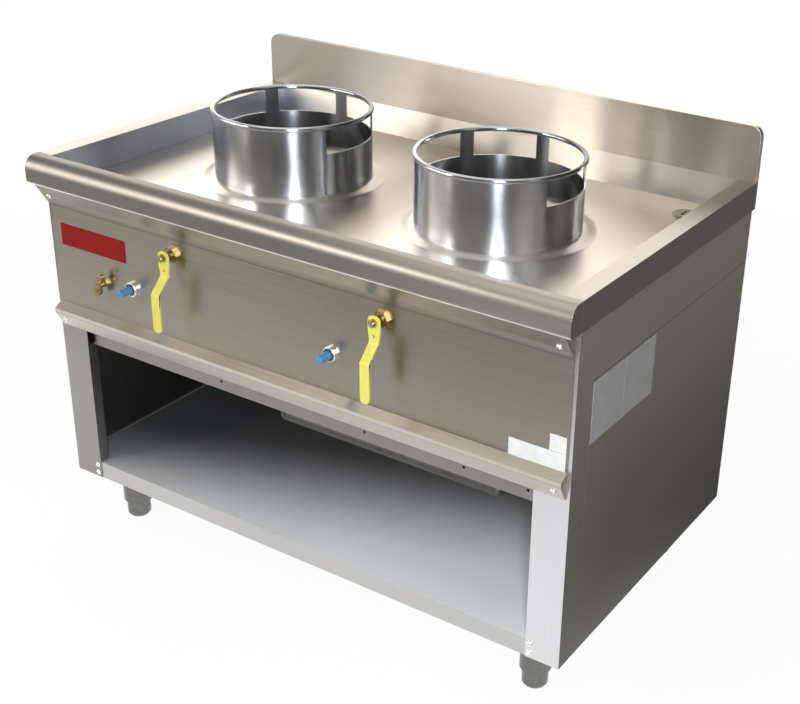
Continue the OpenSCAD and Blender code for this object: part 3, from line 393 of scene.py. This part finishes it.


# Painted shade: the colour darkens towards the middle, between the two burners.
def painted_shade_between_burners(finish, low, high, shade_tone):
    where = finish.node_tree.nodes.new("ShaderNodeTexCoord")
    split = finish.node_tree.nodes.new("ShaderNodeSeparateXYZ")
    across = finish.node_tree.nodes.new("ShaderNodeMath")
    across.operation = "ABSOLUTE"
    wire(finish, where.outputs["Object"], split.inputs["Vector"])
    wire(finish, split.outputs["X"], across.inputs[0])
    paint_shade_by(finish, across.outputs["Value"], low, high, shade_tone)


# These sheets are one stainless steel. Their base colours are set to the light each sheet gets, so their
# differences are painted light and shade.
panel_steel = satin_steel("panel_steel", (0.41, 0.38, 0.325), GRAIN_X, 0.30, UPRIGHT)
side_steel = satin_steel("side_steel", (0.56, 0.53, 0.49), GRAIN_Y, 0.46, UPRIGHT, 0.4)
# Painted shade: the side sheets are darker towards the bottom.
shade_painted_along(side_steel, UPRIGHT, 0.10, 0.85, 0.30)
rim_steel = satin_steel("rim_steel", (0.46, 0.438, 0.395), GRAIN_X, 0.40, INWARD, 0.2)
# Painted shade: the front rim is darker at its left end and middle, lighter to the right.
shade_painted_along(rim_steel, SIDEWAYS, -0.1, 0.6, 0.66)
end_rim_steel = satin_steel("end_rim_steel", (0.56, 0.535, 0.495), GRAIN_Y, 0.32, SIDEWAYS, 0.3)
tray_steel = satin_steel("tray_steel", (0.92, 0.875, 0.80), GRAIN_X, 0.36, INWARD, 0.4, 0.08, 0.000004)
# Painted shade: the basin floor is darker between the two burners.
painted_shade_between_burners(tray_steel, 0.02, 0.17, (0.68, 0.66, 0.62))
wall_steel = satin_steel("wall_steel", (0.76, 0.725, 0.655), GRAIN_X, 0.34, UPRIGHT, 0.4)
# Painted shade: the basin wall is darker towards its left end.
shade_painted_along(wall_steel, SIDEWAYS, -0.2, 0.45, 0.68)
splash_steel = satin_steel("splash_steel", (0.94, 0.89, 0.80), GRAIN_X, 0.32, UPRIGHT, 0.95)
# Painted light and shade: the splashback is darker on the left and lighter on the right.
shade_painted_along(splash_steel, SIDEWAYS, -0.55, 0.62, 0.36)
# Painted light and shade: the two posts are the same steel, the left one painted darker and the right one
# lighter.
shaded_left_post_steel = satin_steel("shaded_left_post_steel", (0.39, 0.375, 0.36), GRAIN_Z, 0.30, SIDEWAYS)
lit_right_post_steel = satin_steel("lit_right_post_steel", (0.76, 0.76, 0.775), GRAIN_Z, 0.30, SIDEWAYS)
rail_steel = satin_steel("rail_steel", (0.33, 0.31, 0.30), GRAIN_X, 0.34, UPRIGHT)
shelf_steel = satin_steel("shelf_steel", (0.80, 0.805, 0.82), GRAIN_X, 0.46, INWARD)
shelf_steel.node_tree.nodes["Principled BSDF"].inputs["Metallic"].default_value = 0.15
# Painted shadow: the shelf darkens towards the back and the left, deeper inside the cabinet.
shade_painted_along(shelf_steel, (0.34, -1.0, 0.0), -0.08, 0.36, 0.10)
# Painted shade: the inside of the back panel is near black, as shade inside the cabinet.
inside_shade_steel = satin_steel("inside_shade_steel", (0.07, 0.072, 0.072), GRAIN_X, 0.42, UPRIGHT)

# %% [markdown]
# ## Polished steel
# The wok rings and the drain are polished, so they mirror the basin in long wavy bands. A nearly smooth
# gloss alone would look like chrome. A slow bump, stretched up the wall, gives the slight waves of a
# rolled sheet.

# %% Polished rings and drain
def polished_steel(name, colour, rough, stretch, wave):
    finish, skin = start_finish(name, 1.0, rough)
    waves = noise_on(finish, stretch, detail=1.5)
    lines = noise_on(finish, (3.0, 3.0, 420.0), detail=3.0)
    tint = two_tones(finish, lines, shade(colour, 0.96), shade(colour, 1.04))
    wire(finish, tint, skin.inputs["Base Color"])
    wire(finish, spread(finish, waves, rough - 0.03, rough + 0.06), skin.inputs["Roughness"])
    relief(finish, waves, skin, wave)
    return finish


def turned_gloss(finish, amount):
    skin = finish.node_tree.nodes["Principled BSDF"]
    round_it = finish.node_tree.nodes.new("ShaderNodeTangent")
    round_it.direction_type = "RADIAL"
    round_it.axis = "Z"
    wire(finish, round_it.outputs["Tangent"], skin.inputs["Tangent"])
    skin.inputs["Anisotropic"].default_value = amount
    skin.inputs["Anisotropic Rotation"].default_value = 0.25


RING_XS = {"left": -0.262, "right": 0.262}
LEFTWARD = (-0.906, -0.423, 0.0)
for side, x in RING_XS.items():
    middle = LEFTWARD[0] * x
    ring_steel = polished_steel(side + "_ring_steel", (0.58, 0.595, 0.635), 0.20, (16.0, 16.0, 3.0), 0.0003)
    turned_gloss(ring_steel, 0.94)
    # Painted shade: each ring darkens on its right side, standing in for the dark room it mirrors there.
    shade_painted_along(ring_steel, LEFTWARD, middle - 0.16, middle - 0.05, 0.32)
    dress(ring_steel, side + "_wok_ring")
drain_steel = polished_steel("drain_steel", (0.5, 0.49, 0.47), 0.2, (60.0, 60.0, 60.0), 0.0005)
screw_steel = polished_steel("screw_steel", (0.90, 0.90, 0.90), 0.36, (300.0, 300.0, 300.0), 0.0002)
dress(drain_steel, "drain_fitting", "drain_grate")
dress(screw_steel, "igniter_collars")

# %% [markdown]
# ## Paint, plastic, brass, cast iron and plates
# The small pieces are each one material: dipped yellow vinyl on the levers, blue moulded buttons, brass
# fittings that have gone dull, black cast burners and thin bare plates. One helper mixes two tones by
# noise, varies the gloss with it and adds the relief that suits the piece.

# %% A helper for the small finishes
def mottled(name, dark, light, metal, rough, grain, depth, spec=0.5):
    finish, skin = start_finish(name, metal, rough, spec)
    spots = noise_on(finish, (grain, grain, grain), detail=5.0)
    wire(finish, two_tones(finish, spots, dark, light), skin.inputs["Base Color"])
    wire(finish, spread(finish, spots, max(0.05, rough - 0.08), rough + 0.08), skin.inputs["Roughness"])
    relief(finish, spots, skin, depth)
    return finish


yellow_vinyl = mottled("yellow_vinyl", (0.56, 0.515, 0.085), (0.63, 0.58, 0.12), 0.0, 0.42, 160.0, 0.0001)
blue_plastic = mottled("blue_plastic", (0.045, 0.165, 0.35), (0.08, 0.22, 0.42), 0.0, 0.3, 220.0, 0.0001)
black_plastic = mottled("black_plastic", (0.02, 0.02, 0.02), (0.05, 0.05, 0.05), 0.0, 0.45, 220.0, 0.0002)
dull_brass = mottled("dull_brass", (0.26, 0.18, 0.075), (0.52, 0.39, 0.18), 1.0, 0.36, 150.0, 0.0002)
burner_iron = mottled("burner_iron", (0.018, 0.017, 0.016), (0.055, 0.05, 0.046), 0.2, 0.72, 260.0, 0.0006)
gas_pipe = mottled("gas_pipe", (0.06, 0.058, 0.055), (0.10, 0.096, 0.092), 0.7, 0.5, 120.0, 0.0003)
foot_steel = mottled("foot_steel", (0.17, 0.165, 0.16), (0.22, 0.215, 0.21), 1.0, 0.3, 90.0, 0.0002)
valve_ball_steel = mottled("valve_ball_steel", (0.6, 0.6, 0.6), (0.78, 0.78, 0.78), 1.0, 0.16, 120.0, 0.0001)
red_plate = mottled("red_plate", (0.19, 0.007, 0.005), (0.24, 0.010, 0.007), 0.0, 0.6, 45.0, 0.0001, 0.1)
white_plate = mottled("white_plate", (0.52, 0.52, 0.505), (0.60, 0.60, 0.585), 0.0, 0.4, 60.0, 0.0001)
grey_plate = mottled("grey_plate", (0.46, 0.455, 0.45), (0.53, 0.525, 0.52), 0.6, 0.42, 40.0, 0.0001)
lead_jacket = mottled("lead_jacket", (0.20, 0.03, 0.02), (0.30, 0.05, 0.035), 0.0, 0.5, 200.0, 0.0002)
spark_ceramic = mottled("spark_ceramic", (0.70, 0.69, 0.66), (0.82, 0.81, 0.78), 0.0, 0.25, 180.0, 0.0001)
pilot_copper = mottled("pilot_copper", (0.45, 0.20, 0.10), (0.72, 0.38, 0.22), 1.0, 0.3, 110.0, 0.0002)
dress(black_plastic, "igniter_bodies")
dress(dull_brass, "injector_elbows", "left_valve_body", "right_valve_body", "panel_nuts")
dress(dull_brass, "pilot_tap_body", "pilot_tap_handle")
dress(burner_iron, "left_burner_bowl", "right_burner_bowl", "left_burner_cap", "right_burner_cap")
dress(gas_pipe, "burner_rails", "mixing_tubes", "gas_manifold", "supply_pipe")
dress(foot_steel, "leg_sockets", "front_left_foot", "front_right_foot", "rear_left_foot", "rear_right_foot")
dress(valve_ball_steel, "left_valve_ball", "right_valve_ball", "button_springs")
dress(lead_jacket, "igniter_leads")
dress(spark_ceramic, "spark_electrodes")
dress(pilot_copper, "pilot_line")

# %% [markdown]
# ## Soft edges on the folded sheets
# A press brake leaves a small round on every fold, and each cut edge is broken with a file. A bevelled box
# would lose the holes and folds of the real sheets. So each sheet is a copy of its solid: the loose
# triangles are merged, the flat ones are joined to whole faces, and a bevel rounds what is sharp.

# %% Helpers for making pieces
def only(thing):
    bpy.ops.object.select_all(action="DESELECT")
    thing.select_set(True)
    bpy.context.view_layer.objects.active = thing


def round_edges(thing, width, steps=2, sharp=40.0):
    only(thing)
    bpy.ops.object.modifier_add(type="BEVEL")
    rounding = thing.modifiers[-1]
    rounding.width = width
    rounding.segments = steps
    rounding.limit_method = "ANGLE"
    rounding.angle_limit = math.radians(sharp)
    bpy.ops.object.modifier_apply(modifier=rounding.name)
    bpy.ops.object.shade_smooth_by_angle(angle=math.radians(38.0))
    bpy.ops.object.modifier_add(type="WEIGHTED_NORMAL")
    level = thing.modifiers[-1]
    level.weight = 100
    level.keep_sharp = True
    bpy.ops.object.modifier_apply(modifier=level.name)


def put_on(thing, finish, slot, body, *stands_for):
    thing.data.materials.clear()
    thing.data.materials.append(finish)
    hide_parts(*stands_for)
    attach(thing, body)


def soft_sheet(name, width, finish, slot):
    only(nodes[name])
    bpy.ops.object.duplicate()
    sheet = bpy.context.object
    sheet.name = name + "_sheet"
    del sheet["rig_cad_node"]
    bpy.ops.object.mode_set(mode="EDIT")
    bpy.ops.mesh.select_all(action="SELECT")
    bpy.ops.mesh.remove_doubles(threshold=0.00001)
    bpy.ops.mesh.dissolve_limited(angle_limit=math.radians(0.4))
    bpy.ops.object.mode_set(mode="OBJECT")
    round_edges(sheet, width)
    put_on(sheet, finish, slot, "cabinet", name)
    print(sheet.name, len(sheet.data.polygons), "faces")


print("making helpers ready")

# %% Helpers for picking edges and faces
def in_edit(thing):
    only(thing)
    bpy.ops.object.mode_set(mode="EDIT")
    bpy.ops.mesh.select_all(action="DESELECT")
    bpy.ops.object.mode_set(mode="OBJECT")


def pick_edges(thing, wanted):
    in_edit(thing)
    bpy.context.tool_settings.mesh_select_mode = (False, True, False)
    points = thing.data.vertices
    for edge in thing.data.edges:
        first, second = (points[i].co for i in edge.vertices)
        edge.select = wanted((first + second) / 2, (second - first).normalized())
    bpy.ops.object.mode_set(mode="EDIT")


def pick_faces(thing, wanted):
    in_edit(thing)
    bpy.context.tool_settings.mesh_select_mode = (False, False, True)
    for face in thing.data.polygons:
        face.select = wanted(face.center, face.normal)
    bpy.ops.object.mode_set(mode="EDIT")


def done():
    bpy.ops.object.mode_set(mode="OBJECT")


def settle(thing):
    only(thing)
    bpy.ops.object.transform_apply(location=True, rotation=True, scale=True)


def cut_away(thing, cutter):
    only(thing)
    bpy.ops.object.modifier_add(type="BOOLEAN")
    cut = thing.modifiers[-1]
    cut.operation = "DIFFERENCE"
    cut.solver = "EXACT"
    cut.object = cutter
    bpy.ops.object.modifier_apply(modifier=cut.name)
    only(cutter)
    bpy.ops.object.delete()


print("picking helpers ready")

# %% Cabinet and worktop sheets
FOLD = 0.0008

for name, finish in (
    ("control_panel", panel_steel), ("front_rim", rim_steel), ("left_rim", end_rim_steel),
    ("right_rim", end_rim_steel), ("splashback", splash_steel), ("left_post", shaded_left_post_steel),
    ("right_post", lit_right_post_steel), ("shelf", shelf_steel), ("compartment_floor", rail_steel),
    ("left_side_panel", side_steel), ("right_side_panel", side_steel), ("left_apron", side_steel),
    ("right_apron", side_steel), ("back_panel", inside_shade_steel),
):
    soft_sheet(name, FOLD, finish, "stainless")
dress(tray_steel, "basin_floor")
dress(wall_steel, "basin_wall")

# %% [markdown]
# ## Faces that look different
# One sheet rarely looks the same on all its sides. Folds turn towards other parts of the room, so some faces
# get painted shade or painted light: a darker strip, end, lip and gap, a lighter ledge, a bluish shaded inner
# wall and a painted highlight on the hem. A second sheet would double the faces, so the faces of the same
# sheet are picked by where they are and which way they look, and get a finish of their own.

# %% A second cut of steel on some faces, with painted light and shade
STRIP_LOW = 0.786
LEDGE_TOP = 0.564
RIM_END = 0.64
GAP_SHADE_LOW = 0.55
HEM_TOP = 0.846
HEM_BACK = -0.38


def second_finish(name, finish, wanted):
    sheet = bpy.data.objects[name + "_sheet"]
    sheet.data.materials.append(finish)
    count = 0
    for face in sheet.data.polygons:
        if wanted(face.center, face.normal):
            face.material_index = len(sheet.data.materials) - 1
            count += 1
    print(name, "has", count, "faces in", finish.name)


# Painted shade and light: the top strip under the rim is darker, and the bottom ledge is lighter.
shaded_strip_steel = satin_steel("shaded_strip_steel", (0.27, 0.25, 0.215), GRAIN_X, 0.30, UPRIGHT)
lit_ledge_steel = satin_steel("lit_ledge_steel", (0.66, 0.625, 0.555), GRAIN_X, 0.30, UPRIGHT)
second_finish("control_panel", shaded_strip_steel, lambda c, n: c.z > STRIP_LOW and n.z < -0.3)
second_finish("control_panel", lit_ledge_steel, lambda c, n: c.z < LEDGE_TOP)
# Painted shade: the shelf's front lip is darker than the shelf.
shaded_lip_steel = satin_steel("shaded_lip_steel", (0.60, 0.59, 0.58), GRAIN_X, 0.34, UPRIGHT)
second_finish("shelf", shaded_lip_steel, lambda c, n: n.y < -0.5 or n.z < -0.5)
# The post sides take the side sheets' finish, with its painted shade towards the bottom.
second_finish("right_post", side_steel, lambda c, n: n.x > 0.3)
second_finish("left_post", side_steel, lambda c, n: n.x < -0.3)
back_steel = satin_steel("back_steel", (0.46, 0.445, 0.42), GRAIN_X, 0.42, UPRIGHT, 0.4)
second_finish("back_panel", back_steel, lambda c, n: n.y > 0.2)
# Painted shade: the outer ends of the right rim and the front rim are darker.
shaded_end_steel = satin_steel("shaded_end_steel", (0.30, 0.285, 0.265), GRAIN_Y, 0.40, UPRIGHT, 0.4)
second_finish("right_rim", shaded_end_steel, lambda c, n: n.x > 0.6 and c.x > RIM_END)
second_finish("front_rim", shaded_end_steel, lambda c, n: n.x > 0.6 and c.x > RIM_END)
# Painted shade and reflection: the left rim's inner wall is a dark bluish grey.
cool_shade_steel = satin_steel("cool_shade_steel", (0.34, 0.36, 0.43), GRAIN_Y, 0.30, UPRIGHT, 0.4)
second_finish("left_rim", cool_shade_steel, lambda c, n: n.x > 0.6 and c.x > -RIM_END)
# Painted shadow: the right post's slanted fold faces beside the panel end are near black, where the gap is in
# shade.
gap_shade_steel = satin_steel("gap_shade_steel", (0.05, 0.048, 0.045), GRAIN_Z, 0.50, SIDEWAYS)
second_finish("right_post", gap_shade_steel, lambda c, n: 0.2 < n.x < 0.97 and n.y > -0.1 and c.z > GAP_SHADE_LOW)
# Painted highlight: the hem under the front rim is bright.
hem_highlight_steel = satin_steel("hem_highlight_steel", (0.92, 0.91, 0.88), GRAIN_X, 0.24, SIDEWAYS, 0.4)
second_finish("front_rim", hem_highlight_steel, lambda c, n: (
    n.z < -0.25 and n.y < -0.1 and c.z < HEM_TOP and c.y < HEM_BACK))

# %% [markdown]
# ## Plates
# The plates on the panel and the right side are thin, so their edges are eased by less than a folded sheet's.

# %% Plates with eased edges
soft_sheet("badge_plate", 0.0004, red_plate, "red_plate")
soft_sheet("notice_plates", 0.0003, white_plate, "white_plate")
soft_sheet("side_plates", 0.0003, grey_plate, "grey_plate")

# %% [markdown]
# ## Collars round the burner openings
# The basin floor is pressed up round each opening, in a soft rise that keeps spilled water away from the
# flame, with a short lip inside the ring. A bevel can't draw that S-shaped slope. So a circle is extruded
# outwards step by step, each time scaled and lifted to the next point of the section.

# %% Pressed collars
SLOPE_STEPS = 12
SLOPE_IN = 0.172
SLOPE_RUN = 0.028
SLOPE_FOOT = 0.8353
SLOPE_RISE = 0.0057
COLLAR_SECTION = [
    (0.148, 0.8352), (0.148, 0.841), (0.1622, 0.841), (0.1622, 0.851), (0.164, 0.851), (0.164, 0.841)]
for step in range(SLOPE_STEPS + 1):
    along = step / SLOPE_STEPS
    rise = SLOPE_RISE * (1.0 + math.cos(math.pi * along)) / 2.0
    COLLAR_SECTION.append((SLOPE_IN + SLOPE_RUN * along, SLOPE_FOOT + rise))


def pressed_collar(side):
    x = RING_XS[side]
    first = COLLAR_SECTION[0]
    bpy.ops.object.select_all(action="DESELECT")
    bpy.ops.mesh.primitive_circle_add(
        vertices=128, radius=first[0], fill_type="NOTHING", location=(x, 0, first[1]))
    collar = bpy.context.object
    collar.name = side + "_pressed_collar"
    settle(collar)
    bpy.ops.object.mode_set(mode="EDIT")
    bpy.ops.mesh.select_all(action="SELECT")
    for (r0, z0), (r1, z1) in zip(COLLAR_SECTION, COLLAR_SECTION[1:]):
        bpy.ops.mesh.extrude_region_move(TRANSFORM_OT_translate={"value": (0, 0, z1 - z0)})
        bpy.ops.transform.resize(value=(r1 / r0, r1 / r0, 1), center_override=(x, 0, z1))
    bpy.ops.mesh.select_all(action="SELECT")
    bpy.ops.mesh.normals_make_consistent(inside=False)
    done()
    only(collar)
    bpy.ops.object.shade_smooth_by_angle(angle=math.radians(40.0))
    collar.data.materials.append(tray_steel)
    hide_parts("burner_collars")
    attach(collar, "cabinet")
    up = sum(f.normal.z * f.area for f in collar.data.polygons)
    print(collar.name, len(collar.data.polygons), "faces, facing up:", up > 0)


for side in RING_XS:
    pressed_collar(side)

# %% [markdown]
# ## Levers
# Each gas valve has a flat steel lever dipped in yellow vinyl: a round head on the stem, a straight neck with
# a small hole, an outward bend and a grip with a round end. It could be bent from a curve, but a strip
# that is extruded along the bends keeps the flat sides. The bends and the ends are then bevelled round.

# %% Bend and round the levers
LEVER_XS = {"left": -0.289, "right": 0.235}
PIVOT_Z = 0.755
HEAD_R = 0.014
HEAD_Y = -0.377
LEVER_T = 0.005
LEVER_W = 0.022
NECK_Z = PIVOT_Z - 0.040
BEND = (0.0, -0.030, -0.032)
GRIP = (0.0, 0.0, -0.083)
TIP_Z = NECK_Z + BEND[2] + GRIP[2]
END_ROUND = 0.0105
FOLD_ROUND = 0.005
HOLE_R = 0.003
HOLE_DROP = 0.028
VINYL_EDGE = 0.0013


def bent_lever(side):
    x, y = LEVER_XS[side], HEAD_Y - LEVER_T / 2
    tall = PIVOT_Z + HEAD_R - NECK_Z
    bpy.ops.object.select_all(action="DESELECT")
    bpy.ops.mesh.primitive_cube_add(
        size=1.0, location=(x, y, NECK_Z + tall / 2), scale=(LEVER_W, LEVER_T, tall))
    lever = bpy.context.object
    lever.name = side + "_vinyl_lever"
    settle(lever)
    pick_faces(lever, lambda c, n: n.z < -0.9)
    bpy.ops.mesh.extrude_region_move(TRANSFORM_OT_translate={"value": BEND})
    bpy.ops.mesh.extrude_region_move(TRANSFORM_OT_translate={"value": GRIP})
    bpy.ops.mesh.select_all(action="SELECT")
    bpy.ops.mesh.bisect(plane_co=(x, y, PIVOT_Z - HEAD_R), plane_no=(0, 0, 1))
    done()
    ends = (TIP_Z, PIVOT_Z + HEAD_R)
    pick_edges(lever, lambda c, d: abs(d.y) > 0.9 and min(abs(c.z - e) for e in ends) < 1e-4)
    bpy.ops.mesh.bevel(offset=END_ROUND, segments=7, affect="EDGES")
    done()
    folds = (NECK_Z, NECK_Z + BEND[2])
    pick_edges(lever, lambda c, d: abs(d.x) > 0.9 and min(abs(c.z - f) for f in folds) < 1e-4)
    bpy.ops.mesh.bevel(offset=FOLD_ROUND, segments=4, affect="EDGES")
    done()
    pick_faces(lever, lambda c, n: c.z > PIVOT_Z - HEAD_R)
    bpy.ops.transform.resize(value=(2 * HEAD_R / LEVER_W, 1, 1), center_override=(x, y, PIVOT_Z))
    done()
    bpy.ops.object.select_all(action="DESELECT")
    bpy.ops.mesh.primitive_cylinder_add(
        vertices=24, radius=HOLE_R, depth=4 * LEVER_T, location=(x, y, PIVOT_Z - HOLE_DROP),
        rotation=(math.pi / 2, 0, 0))
    cut_away(lever, bpy.context.object)
    round_edges(lever, VINYL_EDGE, 3)
    put_on(lever, yellow_vinyl, "yellow_paint", side + "_lever", side + "_lever")
    print(lever.name, len(lever.data.polygons), "faces")


for side in LEVER_XS:
    bent_lever(side)

# %% [markdown]
# ## Lever nuts
# A brass nut clamps each lever to its stem. It is a six-sided bar turned down at the front, so its face ends
# in a round chamfer. A six-sided cylinder gives the flats, and insets give the chamfer and the
# countersink round the stem.

# %% Chamfered nuts
NUT_R = 0.009
NUT_T = 0.007
NUT_CHAMFER = 0.001
NUT_FACE = 0.88
NUT_RING = 0.0022
NUT_SINK = 0.0012


def chamfered_nut(side):
    x, back = LEVER_XS[side], HEAD_Y - LEVER_T
    bpy.ops.object.select_all(action="DESELECT")
    bpy.ops.mesh.primitive_cylinder_add(
        vertices=6, radius=NUT_R, depth=NUT_T - NUT_CHAMFER,
        location=(x, back - NUT_T / 2 + NUT_CHAMFER / 2, PIVOT_Z), rotation=(math.pi / 2, 0, 0))
    nut = bpy.context.object
    nut.name = side + "_chamfered_nut"
    settle(nut)
    pick_faces(nut, lambda c, n: n.y < -0.9)
    bpy.ops.mesh.extrude_region_move(TRANSFORM_OT_translate={"value": (0, -NUT_CHAMFER, 0)})
    bpy.ops.transform.resize(value=(NUT_FACE, 1, NUT_FACE), center_override=(x, back - NUT_T, PIVOT_Z))
    bpy.ops.mesh.inset(thickness=NUT_RING)
    bpy.ops.mesh.extrude_region_move(TRANSFORM_OT_translate={"value": (0, NUT_SINK, 0)})
    done()
    round_edges(nut, 0.0005, 2, 25.0)
    put_on(nut, dull_brass, "brass", side + "_lever", side + "_lever_nut")
    print(nut.name, len(nut.data.polygons), "faces")


for side in LEVER_XS:
    chamfered_nut(side)

# %% [markdown]
# ## Igniter buttons
# The blue buttons are moulded caps that slide in chrome collars. The moulding tapers towards a
# rounded rim and has a finger dish in its face. A sphere would be too full, so a cylinder is narrowed at
# its front, its rim is bevelled, and its face is inset and pushed in.

# %% Moulded buttons
BUTTON_XS = {"left": -0.410, "right": 0.114}
BUTTON_Z = 0.648
BUTTON_R = 0.010
BUTTON_BACK = -0.348
BUTTON_TIP = -0.395
BUTTON_TAPER = 0.78
BUTTON_ROUND = 0.0032
DISH_INSETS = (0.0012, 0.0022)
DISH_DEPTH = 0.0009


def moulded_button(side):
    x = BUTTON_XS[side]
    bpy.ops.object.select_all(action="DESELECT")
    bpy.ops.mesh.primitive_cylinder_add(
        vertices=40, radius=BUTTON_R, depth=BUTTON_BACK - BUTTON_TIP,
        location=(x, (BUTTON_BACK + BUTTON_TIP) / 2, BUTTON_Z), rotation=(math.pi / 2, 0, 0))
    button = bpy.context.object
    button.name = side + "_moulded_button"
    settle(button)
    pick_faces(button, lambda c, n: n.y < -0.99)
    bpy.ops.transform.resize(value=(BUTTON_TAPER, 1, BUTTON_TAPER), center_override=(x, BUTTON_TIP, BUTTON_Z))
    done()
    pick_edges(button, lambda c, d: abs(c.y - BUTTON_TIP) < 1e-5)
    bpy.ops.mesh.bevel(offset=BUTTON_ROUND, segments=5, affect="EDGES")
    done()
    pick_faces(button, lambda c, n: n.y < -0.99 and c.y < BUTTON_TIP + 1e-4)
    for width in DISH_INSETS:
        bpy.ops.mesh.inset(thickness=width)
    bpy.ops.transform.translate(value=(0, DISH_DEPTH, 0))
    done()
    only(button)
    bpy.ops.object.shade_smooth_by_angle(angle=math.radians(45.0))
    put_on(button, blue_plastic, "blue_plastic", side + "_button", side + "_button")
    print(button.name, len(button.data.polygons), "faces")


for side in BUTTON_XS:
    moulded_button(side)

# %% [markdown]
# ## Pilot tap handle
# The pilot tap is turned by a small cast brass handle with two thumb ends and a narrow waist on its stem.
# The ends could be spheres, but a casting is flatter. So a bar gets round ends by a wide bevel, its middle is
# drawn in, and a hub and a stem are joined to it.

# %% Cast tap handle
TAP_AT = (-0.490, -0.373, 0.642)
TAP_TILT = math.radians(-18.0)
TAP_BAR = (0.013, 0.014, 0.054)
TAP_END_ROUND = 0.006
WAIST_CUTS = (-0.011, -0.004, 0.004, 0.011)
WAIST_REACH = 0.006
WAIST = (0.62, 0.7, 1)
HUB = (0.008, -0.3785, -0.366)
STEM = (0.004, -0.3790, -0.331)

bpy.ops.object.select_all(action="DESELECT")
bpy.ops.mesh.primitive_cube_add(size=1.0, location=TAP_AT, scale=TAP_BAR)
handle = bpy.context.object
handle.name = "cast_tap_handle"
settle(handle)
pick_edges(handle, lambda c, d: abs(d.y) > 0.9)
bpy.ops.mesh.bevel(offset=TAP_END_ROUND, segments=6, affect="EDGES")
for height in WAIST_CUTS:
    bpy.ops.mesh.select_all(action="SELECT")
    bpy.ops.mesh.bisect(plane_co=(0, 0, TAP_AT[2] + height), plane_no=(0, 0, 1))
done()
in_edit(handle)
bpy.context.tool_settings.mesh_select_mode = (True, False, False)
for point in handle.data.vertices:
    point.select = abs(point.co.z - TAP_AT[2]) < WAIST_REACH
bpy.ops.object.mode_set(mode="EDIT")
bpy.ops.transform.resize(value=WAIST, center_override=TAP_AT)
bpy.ops.mesh.select_all(action="SELECT")
bpy.ops.transform.rotate(value=TAP_TILT, orient_axis="Y", center_override=TAP_AT)
done()
round_edges(handle, 0.0022, 3, 50.0)
for radius, front, back in (HUB, STEM):
    bpy.ops.object.select_all(action="DESELECT")
    bpy.ops.mesh.primitive_cylinder_add(
        vertices=32, radius=radius, depth=back - front,
        location=(TAP_AT[0], (front + back) / 2, TAP_AT[2]), rotation=(math.pi / 2, 0, 0))
    rod = bpy.context.object
    settle(rod)
    round_edges(rod, 0.001, 2)
    handle.select_set(True)
    bpy.context.view_layer.objects.active = handle
    bpy.ops.object.join()
put_on(handle, dull_brass, "brass", "pilot_tap_handle", "pilot_tap_handle")
print(handle.name, len(handle.data.polygons), "faces")

# %% [markdown]
# ## Screws
# Round-headed screws with a cross recess hold the panel and the shelf lip to the posts. One head is turned
# from a cylinder with a bevelled top and cut by two crossed bars, and the eight screws are copies of it,
# each stood on its own strip.

# %% One screw head
SCREW_R = 0.0065
SCREW_H = 0.0032
SCREW_DOME = 0.0029
RECESS_L, RECESS_W, RECESS_T = 0.0072, 0.0014, 0.003

bpy.ops.object.select_all(action="DESELECT")
bpy.ops.mesh.primitive_cylinder_add(vertices=32, radius=SCREW_R, depth=SCREW_H, location=(0, 0, SCREW_H / 2))
pattern = bpy.context.object
pattern.name = "screw_pattern"
settle(pattern)
pick_edges(pattern, lambda c, d: abs(c.z - SCREW_H) < 1e-5)
bpy.ops.mesh.bevel(offset=SCREW_DOME, segments=6, affect="EDGES")
done()
for bar in ((RECESS_L, RECESS_W, RECESS_T), (RECESS_W, RECESS_L, RECESS_T)):
    bpy.ops.object.select_all(action="DESELECT")
    bpy.ops.mesh.primitive_cube_add(size=1.0, location=(0, 0, SCREW_H), scale=bar)
    cut_away(pattern, bpy.context.object)
only(pattern)
bpy.ops.object.shade_smooth_by_angle(angle=math.radians(40.0))
print(pattern.name, len(pattern.data.polygons), "faces")


# %% Stand the screws on their strips
def stand_screws(name, places, stands_for):
    made = []
    for x, y, z, lean in places:
        only(pattern)
        bpy.ops.object.duplicate()
        screw = bpy.context.object
        screw.matrix_world = Matrix.Translation((x, y, z)) @ Matrix.Rotation(math.pi / 2 + lean, 4, "X")
        settle(screw)
        made.append(screw)
    bpy.ops.object.select_all(action="DESELECT")
    for screw in made:
        screw.select_set(True)
    bpy.context.view_layer.objects.active = made[0]
    bpy.ops.object.join()
    made[0].name = name
    put_on(made[0], screw_steel, "bright_screw", "cabinet", stands_for)
    print(name, len(places), "screws")


PANEL_SCREW_X = 0.617
POST_SCREW_X = 0.579
POST_SCREW_Y = -0.353
POST_SCREW_ZS = (0.142, 0.162)
STRIP_SCREW = (-0.373, 0.8125, math.atan2(36.0, 55.0))
LEDGE_SCREW = (-0.3655, 0.524, math.atan2(19.0, 34.0))
stand_screws("panel_screw_heads", [
    (s * PANEL_SCREW_X, *place) for s in (-1, 1) for place in (STRIP_SCREW, LEDGE_SCREW)], "panel_screws")
stand_screws("post_screw_heads", [
    (s * POST_SCREW_X, POST_SCREW_Y, z, 0.0) for s in (-1, 1) for z in POST_SCREW_ZS], "post_screws")
only(pattern)
bpy.ops.object.delete()
